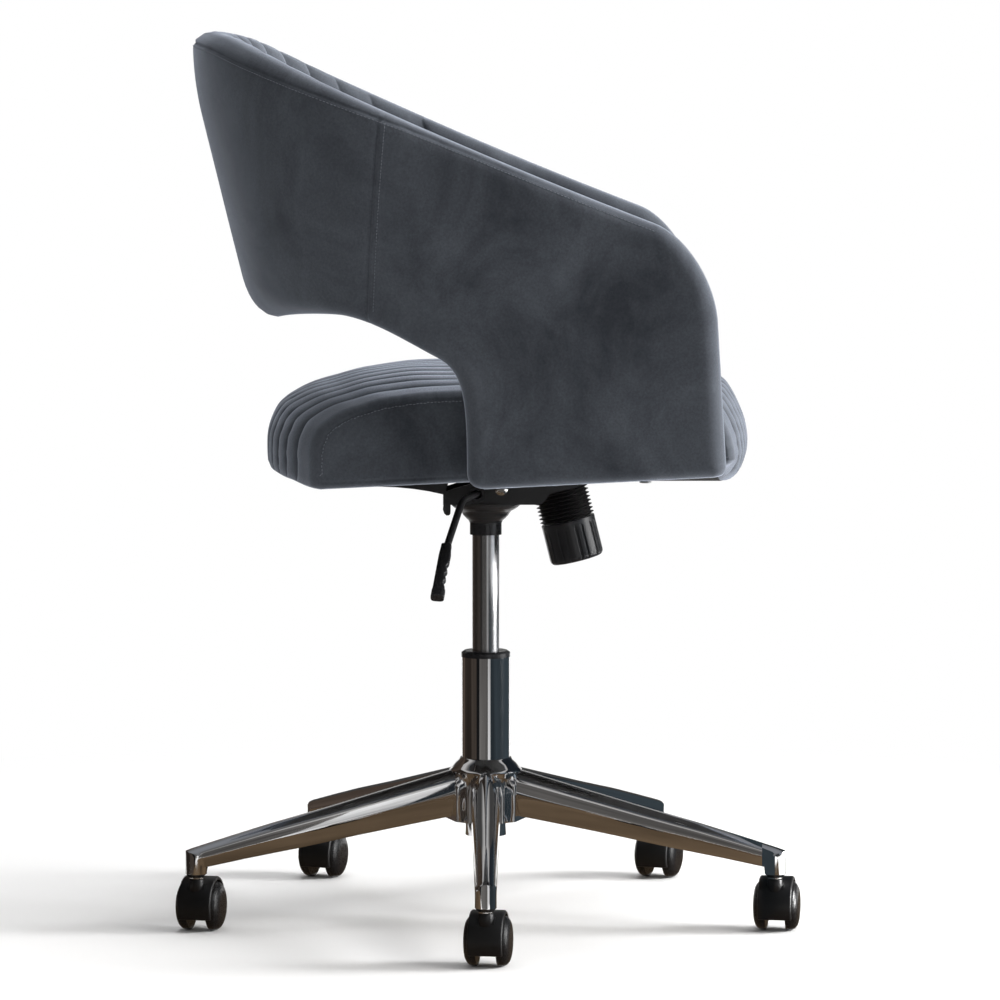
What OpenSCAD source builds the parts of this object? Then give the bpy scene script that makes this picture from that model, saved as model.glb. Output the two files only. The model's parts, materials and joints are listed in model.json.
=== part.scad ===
// Swivel office chair: an upholstered tub seat on a tilting mechanism, a gas lift and a
// five-star base on twin-wheel casters. Millimetres, +Z up, the front of the seat faces -Y,
// and the origin is on the floor under the column's axis. The height shown is the highest.

/* [Seat] */
// Width of the seat cushion
seat_w = 476; // [470:1:476]
// Height of the seat's crown above the floor, with the lift fully raised
seat_top = 577; // [572:1:582]
// How far the cushion reaches in front of the column
seat_front = 270; // [264:1:274]
// How far the cushion reaches behind the column
seat_rear = 226; // [220:1:230]

/* [Tub shell] */
// Half width of the tub at the middle of its thickness
shell_half_w = 263; // [263:1:268]
// Thickness of the upholstered shell
shell_t = 44; // [42:1:46]
// Height of the back's top edge
back_top = 921.5; // [915:0.5:925]
// How far the back leans to the rear for each millimetre of height
lean = 0.245; // [0.22:0.005:0.26]

/* [Base] */
// Distance from the column to a caster's stem
base_r = 312; // [305:1:318]
// Number of arms, each with a caster
arms = 5; // [5]
// Radius of the outer column
column_r = 25; // [25]

/* [Casters] */
// Radius of a wheel
wheel_r = 25.5; // [25:0.5:26]
// Distance from the stem's axis to the axle
trail = 18; // [17:0.5:19]

/* [Mechanism] */
// Travel of the tilt that the mechanism leaves room for, in degrees
tilt_max = 14; // [10:1:14]
// Lean of the tension screw from the vertical, in degrees
screw_lean = 13.9; // [12:0.1:15]
// Radius of the tension knob
knob_r = 28; // [26:0.5:28]

/* [Hidden] */
$fn = 64;
gap = 0.3;            // between soft pieces that lie against each other
run_fit = 0.05;       // radial clearance of a running fit

// ---------------------------------------------------------------- helpers

// Puts an outline drawn as (forward, up) across the chair, centred on X.
module across(width) {
    rotate([90, 0, -90]) linear_extrude(height = width, center = true) children();
}

// Points of a cubic curve from p[0] to p[3], without its last point.
function cubic(p, n = 10) = [for (i = [0 : n - 1]) let (t = i / n, u = 1 - t)
    u*u*u*p[0] + 3*u*u*t*p[1] + 3*u*t*t*p[2] + t*t*t*p[3]];

// A quarter-turn fillet from angle a0 to a1 about c.
function arc(c, r, a0, a1, n = 5) = [for (i = [0 : n]) let (a = a0 + (a1 - a0) * i / n)
    c + r * [cos(a), sin(a)]];

module ring(r_out, r_in, h) {
    difference() {
        cylinder(r = r_out, h = h);
        translate([0, 0, -1]) cylinder(r = r_in, h = h + 2);
    }
}

// ---------------------------------------------------------------- five-star base

hub_top = 168;
hub_shoulder = 155;
hub_bottom = 103;
hub_r = 31;
arm_start = 39;         // where an arm is welded to the hub's pad
arm_root_top = 157;
arm_root_bottom = 106;
arm_tip_top = 87;
arm_tip_bottom = 68;
arm_root_w = 32;
arm_tip_w = 21.6;
arm_wall = 2.2;
socket_r = arm_tip_w / 2;
socket_bottom = 57.5;
stem_top = 80;
stem_r = 5.5;

// Section of an arm: upright sides with a soft gable on top, drawn as (across, up).
function arch(w, z0, z1) = concat(
    [[w / 2 * 0.9, z0], [w / 2, z0 + (z1 - z0) * 0.30]],
    [for (i = [0 : 10]) let (a = i * 18)
        [w / 2 * cos(a), z0 + (z1 - z0) * (0.45 + 0.55 * pow(sin(a), 0.9))]],
    [[-w / 2, z0 + (z1 - z0) * 0.30], [-w / 2 * 0.9, z0]]);

module arm_slice(x, w, z0, z1) {
    translate([x, 0, 0]) rotate([90, 0, 90]) linear_extrude(height = 0.2) polygon(arch(w, z0, z1));
}

// One hollow arm along +X, welded shut, with the caster socket at its tip.
module base_arm() {
    tip_end = base_r + socket_r;
    difference() {
        union() {
            hull() {
                arm_slice(arm_start, arm_root_w, arm_root_bottom, arm_root_top);
                arm_slice(base_r - 2, arm_tip_w, arm_tip_bottom, arm_tip_top + 2.6);
                translate([base_r, 0, arm_tip_bottom]) cylinder(r = socket_r, h = 12);
                translate([base_r, 0, arm_tip_top - 3]) cylinder(r = socket_r - 2, h = 3.5);
            }
            translate([base_r, 0, socket_bottom + 3.5])
                cylinder(r = socket_r, h = arm_tip_bottom - socket_bottom);
            translate([base_r, 0, socket_bottom]) cylinder(r1 = 7.6, r2 = socket_r, h = 3.5);
        }
        // the closed cavity inside
        hull() {
            arm_slice(arm_start + 3, arm_root_w - 2 * arm_wall, arm_root_bottom + arm_wall,
                      arm_root_top - arm_wall - 1);
            arm_slice(base_r - socket_r - 14, arm_tip_w - 2 * arm_wall, arm_tip_bottom + arm_wall + 2.5,
                      arm_tip_top);
        }
        translate([base_r, 0, socket_bottom - 1]) cylinder(r = stem_r + run_fit, h = 24);
    }
}

module base_hub() {
    pad_half = arm_root_w / 2 + 1.5;
    difference() {
        union() {
            rotate_extrude() polygon([[21.3, hub_bottom], [hub_r + 3, hub_bottom],
                [hub_r + 3, hub_bottom + 4], [hub_r, hub_bottom + 4], [hub_r, hub_shoulder - 5],
                [arm_start, hub_shoulder], [27.5, hub_top - 2], [27.5, hub_top],
                [column_r, hub_top], [column_r, 118], [21.3, 118]]);
            // a pad for each arm
            for (i = [0 : arms - 1]) rotate(180 + i * 360 / arms)
                translate([26.5, 0, 0]) rotate([90, 0, 90])
                    linear_extrude(height = arm_start - 26.5)
                        polygon([[-pad_half, 109], [pad_half, 109], [pad_half, 136],
                                 [pad_half - 4, 146], [pad_half - 11, 151.5],
                                 [11 - pad_half, 151.5], [4 - pad_half, 146], [-pad_half, 136]]);
        }
        // hollows between the pads
        for (i = [0 : arms - 1]) rotate(180 + (i + 0.5) * 360 / arms)
            translate([56.5, 0, hub_bottom + 7]) cylinder(r = 26, h = 36);
    }
}

// ---------------------------------------------------------------- outer column

column_top = 274;
column_foot = 87.5;
gas_r = 14;             // gas cylinder
rod_r = 5;              // piston rod

module outer_column() {
    difference() {
        union() {
            translate([0, 0, 118]) cylinder(r = column_r, h = column_top - 118);
            translate([0, 0, column_foot]) cylinder(r = 21.3, h = 118 - column_foot + 1);
        }
        translate([0, 0, 124]) cylinder(r = column_r - 1.8, h = column_top);
        translate([0, 0, 98]) cylinder(r = 19.5, h = 30);
        translate([0, 0, column_foot - 1]) cylinder(r = 17, h = 6);
        translate([0, 0, column_foot]) cylinder(r = rod_r + run_fit, h = 20);
    }
}

module guide_bush() {
    translate([0, 0, 190]) ring(column_r - 1.85, gas_r + run_fit, column_top - 190);
    translate([0, 0, column_top]) difference() {
        union() {
            cylinder(r = column_r + 0.4, h = 4.5);
            translate([0, 0, 4.5]) cylinder(r1 = column_r + 0.4, r2 = column_r - 2.5, h = 2);
        }
        translate([0, 0, -1]) cylinder(r = gas_r + run_fit, h = 9);
    }
}

module retaining_clip() {
    translate([0, 0, 90.4]) ring(9, 3.6, 1.2);
}

// ---------------------------------------------------------------- casters

housing_top = 56;
wheel_in = 10.2;        // inner face of a wheel, from the caster's middle
wheel_out = 23.5;       // crown of a wheel's dome
axle_r = 3;
// How far each caster has turned on its stem, from the front-left arm round the base
caster_turn = [-8, -9, -19, -19, -13];

// Places what is drawn at a stem: caster i's stem on the origin, trailing along +X.
module at_caster(i) {
    a = 180 + (i - 1) * 360 / arms;
    translate([base_r * cos(a), base_r * sin(a), 0]) rotate(caster_turn[i - 1]) children();
}

module caster_stem() {
    translate([0, 0, 40]) cylinder(r = 5, h = housing_top - 40 + 0.5);
    translate([0, 0, housing_top + 0.3]) cylinder(r = 7.2, h = socket_bottom - housing_top - 0.3);
    translate([0, 0, socket_bottom - 0.5]) cylinder(r = stem_r, h = stem_top - socket_bottom);
}

module caster_stems() {
    for (i = [1 : arms]) at_caster(i) caster_stem();
}

module caster_housing() {
    difference() {
        union() {
            // web between the wheels
            translate([trail, 0, wheel_r]) rotate([90, 0, 0])
                cylinder(r = 11.5, h = 2 * wheel_in - 1.2, center = true);
            translate([0, 0, wheel_r]) rotate([90, 0, 0]) linear_extrude(height = 2 * wheel_in - 1.2, center = true)
                polygon([[-6, 12], [trail - 11, -4], [trail + 11, -2], [trail + 20, 16],
                         [trail + 9, 27.5], [0, 27.5], [-6, 22]]);
            // hood over the wheels' tops
            intersection() {
                translate([trail, 0, wheel_r]) rotate([90, 0, 0]) difference() {
                    cylinder(r = housing_top - wheel_r, h = 36, center = true);
                    cylinder(r = wheel_r + 1.2, h = 40, center = true);
                }
                translate([-16, -20, 40]) cube([60, 40, 20]);
            }
            // boss round the stem
            translate([0, 0, 42]) cylinder(r = 8, h = housing_top - 42);
            translate([0, 0, 42]) sphere(r = 8);
        }
        translate([0, 0, 39.8]) cylinder(r = 5 + run_fit, h = 20);
        translate([trail, 0, wheel_r]) rotate([90, 0, 0]) cylinder(r = axle_r, h = 60, center = true);
    }
}

module caster_axle() {
    translate([trail, 0, wheel_r]) rotate([90, 0, 0]) cylinder(r = axle_r, h = 40, center = true);
}

// One wheel, domed outwards; side is 1 for the left of the trail and -1 for the right.
module caster_wheel(side) {
    dome = [for (i = [0 : 9]) let (a = i * 10)
        [4 + (wheel_r - 4) * pow(cos(a), 0.55), 13 + (wheel_out - 13) * pow(sin(a), 0.9)]];
    translate([trail, 0, wheel_r]) rotate([-90 * side, 0, 0])
        difference() {
            rotate_extrude() polygon(concat([[0, wheel_in], [wheel_r - 1, wheel_in],
                [wheel_r, wheel_in + 1]], dome, [[0, wheel_out]]));
            translate([0, 0, wheel_in - 1]) cylinder(r = axle_r + run_fit, h = 20.2 - wheel_in + 1);
        }
}

// ---------------------------------------------------------------- gas lift

cylinder_foot = 212;
cylinder_top = 438;

module piston_rod() {
    translate([0, 0, 92]) cylinder(r = rod_r, h = 140);
    translate([0, 0, 89]) cylinder(r = 3.5, h = 4);
    translate([0, 0, 106.2]) cylinder(r = 9, h = 3.5);
    translate([0, 0, 232]) cylinder(r = 12.1, h = 12);
}

module thrust_bearing() {
    translate([0, 0, 98.2]) ring(16, rod_r + 0.1, 2);
    translate([0, 0, 104.2]) ring(16, rod_r + 0.1, 2);
    for (i = [0 : 7]) rotate(i * 45) translate([10.5, 0, 102.2]) sphere(r = 2.05, $fn = 24);
}

module gas_cylinder() {
    difference() {
        translate([0, 0, cylinder_foot]) cylinder(r = gas_r, h = cylinder_top - cylinder_foot);
        translate([0, 0, cylinder_foot + 6]) cylinder(r = 12.2, h = 170);
        translate([0, 0, cylinder_foot - 1]) cylinder(r = rod_r + run_fit, h = 10);
        translate([0, 0, cylinder_top - 20]) cylinder(r = 4 + run_fit, h = 30);
    }
}

module valve_button() {
    translate([0, 0, cylinder_top - 14]) cylinder(r = 4, h = 18);
}

// ---------------------------------------------------------------- tilt mechanism

pivot_y = -16;
pivot_z = 452;
plate_z = 466.7;        // underside of the top plate
plate_t = 2.5;
plate_half_w = 75;
housing_half_w = 34;
bowl_top = 435;
tab_y = -77;            // where the tension screw passes the housing's front tab
tab_z = 449;
knob_len = 43;
bellows_len = 31.5;
screw_r = 4;
lever_pivot = [-32.5, 9, 446];
lever_points = [[0, 0, 446], lever_pivot, [-80, 24, 444], [-156.8, 40.5, 399.6]];
grip_end = [-215, 49, 357.5];
bush_r = 6.5;

// What is drawn along -Z from the origin hangs along the tension screw from the tab.
module on_screw(drop = 0) {
    translate([0, tab_y, tab_z]) rotate([-screw_lean, 0, 0]) translate([0, 0, -drop]) children();
}

// Underside of the housing's front tab, square to the screw
function tab_low(s) = tab_z + (s + tab_y) * tan(screw_lean);

// Side of the housing, drawn as (forward, up)
housing_side = concat([[-44, bowl_top], [52, bowl_top]],
    cubic([[52, bowl_top], [62, bowl_top], [62, 441], [66, tab_low(66)]], 4),
    [[66, tab_low(66)], [104, tab_low(104)], [103, 460], [60, 460], [30, 463], [5, 463],
     [-44, 448]]);

module mechanism_housing() {
    difference() {
        union() {
            difference() {
                across(2 * housing_half_w) polygon(housing_side);
                translate([-housing_half_w + 3, -61, bowl_top + 3])
                    cube([2 * housing_half_w - 6, 102, 60]);
                // behind the tab, above it and round the screw
                on_screw(0) translate([-housing_half_w + 3, -40, 0.01])
                    cube([2 * housing_half_w - 6, 70, 40]);
            }
            // pressed bowl down to the collar
            difference() {
                rotate_extrude() polygon([[13.7, 414], [16.8, 414], [17.8, 416.2], [20.6, 418.6], [23.4, 421.6],
                    [25.2, 424.6], [27, 426.4], [30, 427.8], [33.4, 430], [36.4, 433], [37.6, bowl_top + 0.5],
                    [33, bowl_top + 0.5], [29, 430.8], [24, 429], [21, 424.6], [13.7, 422]]);
            }
            // sleeve that grips the gas cylinder
            translate([0, 0, 414]) cylinder(r = 17, h = 21.5);
            // turned-down rear lip
            across(44) polygon([[-36.5, bowl_top + 1], [-36.5, 424.5], [-38, 423], [-40.5, 422.8],
                [-43, 425], [-44.3, 429], [-44, 432.5], [-42.4, bowl_top + 1]]);
        }
        translate([0, 0, 400]) cylinder(r = gas_r, h = 60);
        // room for the bellows, which reaches up between the side walls
        on_screw(45) cylinder(r = 28.5, h = 45);
        // room for the tension screw and its swing
        on_screw(-8) hull() {
            translate([0, 2, -20]) cylinder(r = screw_r + 2.5, h = 40, $fn = 32);
            translate([0, -12, -20]) cylinder(r = screw_r + 2.5, h = 40, $fn = 32);
        }
        // pivot holes
        translate([0, pivot_y, pivot_z]) rotate([0, 90, 0]) cylinder(r = 5, h = 90, center = true);
        // hole for the lever's bush
        translate([-housing_half_w - 1, lever_pivot[1], lever_pivot[2]]) rotate([0, 90, 0])
            cylinder(r = bush_r, h = 6);
    }
}

module mechanism_collar() {
    translate([0, 0, 401.5]) ring(16.5, gas_r, 12.5);
}

module pivot_pins() {
    for (side = [-1, 1]) translate([0, pivot_y, pivot_z]) rotate([0, 90 * side, 0]) {
        translate([0, 0, housing_half_w - 4]) cylinder(r = 5, h = 9);
        translate([0, 0, housing_half_w - 6.5]) cylinder(r = 7, h = 3.4);
        translate([0, 0, housing_half_w + 4.2]) cylinder(r = 6.8, h = 1.2);
        translate([0, 0, housing_half_w + 5.4]) cylinder(r1 = 6.8, r2 = 3.4, h = 2.4);
    }
}

screw_xy = [[-60, 140], [60, 140], [-60, -92], [60, -92]];
plate_outline = [[-70, 165], [70, 165], [75, 160], [75, -100], [66, -110], [-66, -110],
                 [-75, -100], [-75, 160]];
// Side lip of the top plate, drawn as (forward, up): it deepens towards the lever's notch
plate_lip = concat([[-160, plate_z + 1], [-160, 455]],
    cubic([[-160, 455], [-130, 458], [-85, 460], [-42, 449]], 8),
    [[-42, 449], [-38, 462], [2, 462], [6, 455], [90, 455], [100, plate_z + 1]]);

module top_plate() {
    difference() {
        union() {
            translate([0, 0, plate_z]) linear_extrude(height = plate_t) polygon(plate_outline);
            for (side = [-1, 1]) {
                translate([side * (plate_half_w - 1.25), 0, 0]) across(2.5) polygon(plate_lip);
                // lug on the tilt pivot
                translate([side * (housing_half_w + 2.5), 0, 0]) across(2.8)
                    polygon(concat([[-pivot_y + 20, plate_z + 0.5], [-pivot_y - 20, plate_z + 0.5]],
                        arc([-pivot_y, pivot_z], 11, 190, 350, 10)));
            }
        }
        for (p = screw_xy) translate([p[0], p[1], 440]) cylinder(r = 3.3, h = 60);
        translate([0, pivot_y, pivot_z]) rotate([0, 90, 0])
            cylinder(r = 5 + run_fit, h = 120, center = true);
    }
}

module tension_bolt() {
    // the screw's head is welded under the top plate
    intersection() {
        on_screw(54) cylinder(r = screw_r, h = 80);
        translate([-20, -120, 380]) cube([40, 100, plate_z - 380]);
    }
}

module tension_knob() {
    on_screw(bellows_len + 1.5 + knob_len) difference() {
        union() {
            translate([0, 0, 3]) cylinder(r = knob_r, h = knob_len - 3);
            cylinder(r1 = knob_r - 3, r2 = knob_r, h = 3);
        }
        translate([0, 0, 12]) cylinder(r = screw_r + run_fit, h = knob_len);
        // finger grooves in pairs
        for (i = [0 : 11], d = [-5, 5]) rotate(i * 30 + d)
            translate([knob_r + 0.6, 0, 3]) cylinder(r = 1.5, h = knob_len - 10, $fn = 16);
    }
}

module spring_bellows() {
    folds = 8;
    pitch = (bellows_len - 1.6) / folds;
    on_screw(bellows_len) rotate_extrude() polygon(concat(
        [[25, 0.3]],
        [for (i = [0 : folds - 1], k = [0, 1])
            k == 0 ? [27.2, 0.3 + pitch * (i + 0.5)] : [24.6, 0.3 + pitch * (i + 1)]],
        [[22.6, 0.3 + pitch * folds]],
        [for (i = [folds - 1 : -1 : 0], k = [0, 1])
            k == 0 ? [25.2, 0.3 + pitch * (i + 0.5)] : [22.6, 0.3 + pitch * i]]));
}

// Tilt spring: wire rings joined along a helix round the screw
module tilt_spring() {
    turns = 4;
    steps = 20;
    sides = 8;
    wire = 2.4;
    coil_r = 17;
    rise = bellows_len - 2 * wire - 1.6;
    count = turns * steps;
    points = [for (i = [0 : count], k = [0 : sides - 1])
        let (a = i * 360 / steps, b = k * 360 / sides, r = coil_r + wire * cos(b))
        [r * cos(a), r * sin(a), wire + rise * i / count + wire * sin(b)]];
    faces = concat(
        [[for (k = [0 : sides - 1]) k]],
        [for (i = [0 : count - 1], k = [0 : sides - 1]) let (n = (k + 1) % sides)
            [i * sides + k, (i + 1) * sides + k, (i + 1) * sides + n, i * sides + n]],
        [[for (k = [sides - 1 : -1 : 0]) count * sides + k]]);
    on_screw(bellows_len - 0.2) polyhedron(points = points, faces = faces, convexity = 10);
}

// Rod from a to b with round ends, in exact pieces
module rod(a, b, r) {
    d = b - a;
    len = norm(d);
    translate(a) rotate([0, acos(d[2] / len), atan2(d[1], d[0])]) cylinder(r = r, h = len);
    translate(b) sphere(r = r, $fn = 32);
}

// Plastic bush that the lever rocks in
module lever_bush() {
    translate([-housing_half_w - 2, lever_pivot[1], lever_pivot[2]]) rotate([0, 90, 0])
        difference() {
            union() {
                cylinder(r = bush_r + 2, h = 2);
                cylinder(r = bush_r, h = 7.5);
            }
            translate([0, 0, -1]) cylinder(r = 5, h = 10);
            // bearing for the lever's trunnions
            translate([0, 0, housing_half_w + 2 + lever_pivot[0]]) rotate([90, 0, 0])
                cylinder(r = 2 + run_fit, h = 20, center = true);
        }
}

module lever_rod() {
    for (i = [0 : len(lever_points) - 2]) rod(lever_points[i], lever_points[i + 1], 3.2);
    translate(lever_points[0]) sphere(r = 3.2, $fn = 32);
    translate(lever_pivot) rotate([90, 0, 0]) cylinder(r = 2, h = 2 * bush_r - 2, center = true);
}

module lever_grip() {
    a = lever_points[3];
    d = grip_end - a;
    len = norm(d);
    translate(a) rotate([0, acos(d[2] / len), atan2(d[1], d[0])]) difference() {
        union() {
            translate([0, 0, -7]) cylinder(r = 5.6, h = len - 4);
            translate([-4, -7, 6]) cube([8, 14, len - 18]);
            translate([-4.5, -7.5, len - 16]) cube([9, 15, 15]);
        }
        translate([0, 0, -8]) cylinder(r = 3.9, h = 12);
        // finger grooves along the front edge
        for (k = [0 : 2]) translate([-10, -11, 18 + 13 * k]) rotate([0, 90, 0]) cylinder(r = 5, h = 20);
    }
}

// ---------------------------------------------------------------- seat

seat_bottom = 470;
board_t = 12;
bracket_t = 2.5;
bracket_screw_y = [-20, -160];
rear_bow = 60;          // how much the rear corners lie ahead of the rear's middle
front_bow = 30;

// Plan of the cushion, shrunk by inset
module seat_plan(inset = 0) {
    steps = 12;
    half = seat_w / 2;
    offset(delta = -inset) offset(r = 18) offset(delta = -18) polygon(concat(
        [for (i = [-steps : steps]) let (t = i / steps) [half * t, -(seat_front - front_bow * t * t)]],
        [for (i = [-steps : steps]) let (t = -i / steps) [half * t, seat_rear - rear_bow * t * t]]));
}

// Side of the cushion, drawn as (forward, up)
seat_side = concat(
    cubic([[-196, 470], [-215, 470], [-seat_rear, 482], [-seat_rear, 500]], 5),
    cubic([[-seat_rear, 500], [-seat_rear, 545], [-195, 560], [-120, seat_top - 3]], 10),
    [[-120, seat_top - 3], [-50, seat_top], [140, seat_top]],
    cubic([[190, seat_top - 3], [235, seat_top - 9], [seat_front, 545], [seat_front, 501]], 10),
    cubic([[seat_front, 501], [seat_front, 482], [255, 470], [235, 470]], 5), [[235, 470]]);

module seat_cushion() {
    crown_r = 2000;
    difference() {
        intersection() {
            across(seat_w) polygon(seat_side);
            translate([0, 0, 460]) linear_extrude(height = 140) seat_plan();
            translate([0, 0, seat_top - crown_r]) rotate([90, 0, 0])
                cylinder(r = crown_r, h = 700, center = true, $fn = 360);
        }
        translate([0, 0, 460]) linear_extrude(height = seat_bottom - 460 + board_t + gap)
            seat_plan(30 - gap);
        for (p = screw_at) translate([p[0], p[1], seat_bottom]) cylinder(r = 12, h = board_t + 8);
        // slots for the arm brackets
        for (side = [-1, 1]) translate([side * 202 - 42, -191, seat_bottom + board_t - 0.5])
            cube([84, 192, bracket_t + 1]);
    }
}

module seat_board() {
    difference() {
        translate([0, 0, seat_bottom]) linear_extrude(height = board_t) seat_plan(30);
        for (p = screw_at) translate([p[0], p[1], seat_bottom - 1]) cylinder(r = 4.2, h = 20);
    }
}

module dust_cover() {
    difference() {
        translate([0, 0, plate_z + plate_t]) linear_extrude(height = seat_bottom - plate_z - plate_t)
            seat_plan(22);
        for (p = screw_at) translate([p[0], p[1], 460]) cylinder(r = 6.5, h = 20);
    }
}

// A screw is drawn at the height where its head bears: under the top plate, or under the board.
screw_at = concat([for (p = screw_xy) [p[0], p[1], 0, 0]],
    [for (side = [-1, 1], y = bracket_screw_y) [side * 185, y, seat_bottom - plate_z, bracket_t]]);

module seat_screws() {
    for (p = screw_at) translate([p[0], p[1], p[2]]) {
        translate([0, 0, plate_z - 4]) cylinder(r = 6, h = 4);
        translate([0, 0, plate_z - 0.5]) cylinder(r = 3, h = 17);
    }
}

module seat_tnuts() {
    for (p = screw_at) translate([p[0], p[1], p[3]]) difference() {
        union() {
            translate([0, 0, seat_bottom + board_t]) cylinder(r = 10, h = 1.5);
            translate([0, 0, seat_bottom + 2]) cylinder(r = 4.1, h = board_t - 1);
        }
        translate([0, 0, 460]) cylinder(r = 3, h = 60);
    }
}

// ---------------------------------------------------------------- tub shell

shell_bottom = 471.5;
back_bottom = 633;
lean_z = 675;           // height at which the tub's plan is drawn
tub_centre_y = 35;      // where the straight arms turn into the back
tub_reach = 195;        // from there to the back's middle

// Upper edge of the tub along its side, from the back to the arm's front
function rim(s) = let (t = (s + 243) / 409) 910 - 176.4 * t - 20 * t * (1 - t);

// Outline of the tub seen from its side, drawn as (forward, up)
shell_side = concat(
    [[-330, back_bottom], [-330, 860], [-300.5, 860], [-300.5, 903]],
    cubic([[-300.5, 903], [-300.5, 916], [-294, back_top], [-284, back_top]], 4),
    cubic([[-284, back_top], [-272, back_top], [-262, 918], [-243, 910]], 4),
    [for (i = [0 : 12]) let (s = -243 + 409 * i / 12) [s, rim(s)]],
    cubic([[166, 733.6], [194, 723], [224, 682], [228.5, 640]], 12),
    [[228.5, 640], [237.5, 496]],
    cubic([[237.5, 496], [238, 486], [234, 483.5], [225, 482.7]], 4),
    [[225, 482.7], [0, shell_bottom]],
    cubic([[0, shell_bottom], [-13, shell_bottom], [-18.5, 477], [-18.5, 487]], 4),
    cubic([[-18.5, 488], [-18.5, 560], [-22, 588], [-48, 601]], 8),
    cubic([[-48, 601], [-80, 617], [-110, 641], [-150, 641.5]], 8),
    cubic([[-150, 641.5], [-178, 641.5], [-190, 634], [-210, back_bottom]], 4));

// Plan of the tub's wall between two distances from its middle surface
function tub_path(t, n = 28) = concat(
    [[-(shell_half_w + t), -300]],
    [for (i = [-n : n]) let (a = 90 * i / n, e = 0.85)
        [(shell_half_w + t) * sign(a) * pow(abs(sin(a)), e),
         tub_centre_y + (tub_reach + t) * pow(cos(a), e)]],
    [[shell_half_w + t, -300]]);

function backwards(list) = [for (i = [len(list) - 1 : -1 : 0]) list[i]];

// The tub's wall from t0 to t1 about its middle surface, inside an outline shrunk by inset
module tub_wall(t0, t1, inset = 0) {
    intersection() {
        across(2 * (shell_half_w + shell_t)) offset(delta = -inset) polygon(shell_side);
        multmatrix([[1, 0, 0, 0], [0, 1, lean, -lean * lean_z], [0, 0, 1, 0], [0, 0, 0, 1]])
            translate([0, 0, shell_bottom - 5]) linear_extrude(height = 460)
                polygon(concat(tub_path(t1), backwards(tub_path(t0))));
    }
}

module shell_core() {
    difference() {
        tub_wall(-6, 6, 14);
        bracket_holes(4.1);
    }
}

// Sewn pieces of the upholstery: the back is the part behind cut_y, and an arm is the part
// ahead of it on one side, with side 1 on the left.
module back_part(cut_y) {
    intersection() {
        children();
        translate([-400, cut_y, 400]) cube([800, 400, 600]);
    }
}

module arm_part(side, cut_y) {
    intersection() {
        children();
        translate([side > 0 ? 5 : -405, cut_y - 600, 400]) cube([400, 600, 600]);
    }
}

outer_seam_y = 112;
inner_seam_y = 85;

module outer_cover() {
    tub_wall(6 + gap, shell_t / 2);
}

module inner_cover() {
    slot_x = shell_half_w - 6 - bracket_t;
    difference() {
        tub_wall(-shell_t / 2, 6);
        tub_wall(-6 - gap, 7, 14 - gap);
        // slots for the arm brackets and the heads of their bolts
        for (side = [-1, 1]) {
            translate([side * (slot_x + 1.3) - 1.6, -191, seat_bottom + board_t - 0.5])
                cube([3.2, 192, 84]);
            translate([side * 247 - 9, -191, seat_bottom + board_t - 0.5])
                cube([18, 192, bracket_t + 1]);
            for (y = bracket_y) translate([side * (shell_half_w - 13), y, bracket_bolt_z])
                rotate([0, 90, 0]) cylinder(r = 8, h = 14, center = true);
        }
    }
}

// ---------------------------------------------------------------- arm brackets

bracket_y = [-30, -95, -160];
bracket_bolt_z = 525;

module bracket_holes(r) {
    for (y = bracket_y) translate([0, y, bracket_bolt_z]) rotate([0, 90, 0])
        cylinder(r = r, h = 600, center = true);
}

// L-shaped bracket from the top of the seat board up inside the arm; side is 1 on the left.
module arm_bracket(side) {
    leg_x = shell_half_w - 6.1;      // against the core's inner face
    difference() {
        union() {
            translate([side > 0 ? 165 : -leg_x, -190, seat_bottom + board_t])
                cube([leg_x - 165, 190, bracket_t]);
            translate([side > 0 ? leg_x - bracket_t : -leg_x, -190, seat_bottom + board_t])
                cube([bracket_t, 190, 70]);
        }
        bracket_holes(4.1);
        for (y = bracket_screw_y) translate([side * 185, y, 450]) cylinder(r = 4.2, h = 50);
        // lightening hole
        translate([side * 215, -90, 460]) cylinder(r = 22, h = 40);
    }
}

module bracket_bolts() {
    for (side = [-1, 1], y = bracket_y)
        translate([side * (shell_half_w - 6.1 - bracket_t), y, bracket_bolt_z])
        rotate([0, 90 * side, 0]) {
            translate([0, 0, -3.2]) cylinder(r = 7, h = 3.2);
            translate([0, 0, -0.5]) cylinder(r = 4, h = 15);
        }
}

// ---------------------------------------------------------------- nodes

chrome = "silver";
steel = "lightgrey";
black = "dimgray";
velvet = "slategray";

color(chrome) base_hub();
for (i = [1 : arms]) {
    a = 180 + (i - 1) * 360 / arms;
    color(chrome) rotate(a) base_arm();
    color(black) at_caster(i) caster_housing();
    color(steel) at_caster(i) caster_axle();
    color(black) at_caster(i) caster_wheel(1);
    color(black) at_caster(i) caster_wheel(-1);
}
color(chrome) outer_column();
color(black) guide_bush();
color(steel) retaining_clip();
color(steel) caster_stems();
color(steel) piston_rod();
color(steel) thrust_bearing();
color(steel) gas_cylinder();
color(steel) valve_button();
color(black) mechanism_housing();
color(black) mechanism_collar();
color(black) lever_rod();
color(black) lever_grip();
color(steel) pivot_pins();
color(black) top_plate();
color(steel) tension_bolt();
color(black) tension_knob();
color(steel) tilt_spring();
color(black) spring_bellows();
color("tan") seat_board();
color(velvet) seat_cushion();
color(black) dust_cover();
color(steel) seat_screws();
color(steel) seat_tnuts();
color("tan") shell_core();
color(velvet) back_part(outer_seam_y) outer_cover();  // outer_back_panel
color(velvet) arm_part(1, outer_seam_y) outer_cover();  // outer_arm_left
color(velvet) arm_part(-1, outer_seam_y) outer_cover();  // outer_arm_right
color(velvet) back_part(inner_seam_y) inner_cover();  // inner_back_pad
color(velvet) arm_part(1, inner_seam_y) inner_cover();  // inner_arm_left
color(velvet) arm_part(-1, inner_seam_y) inner_cover();  // inner_arm_right
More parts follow.
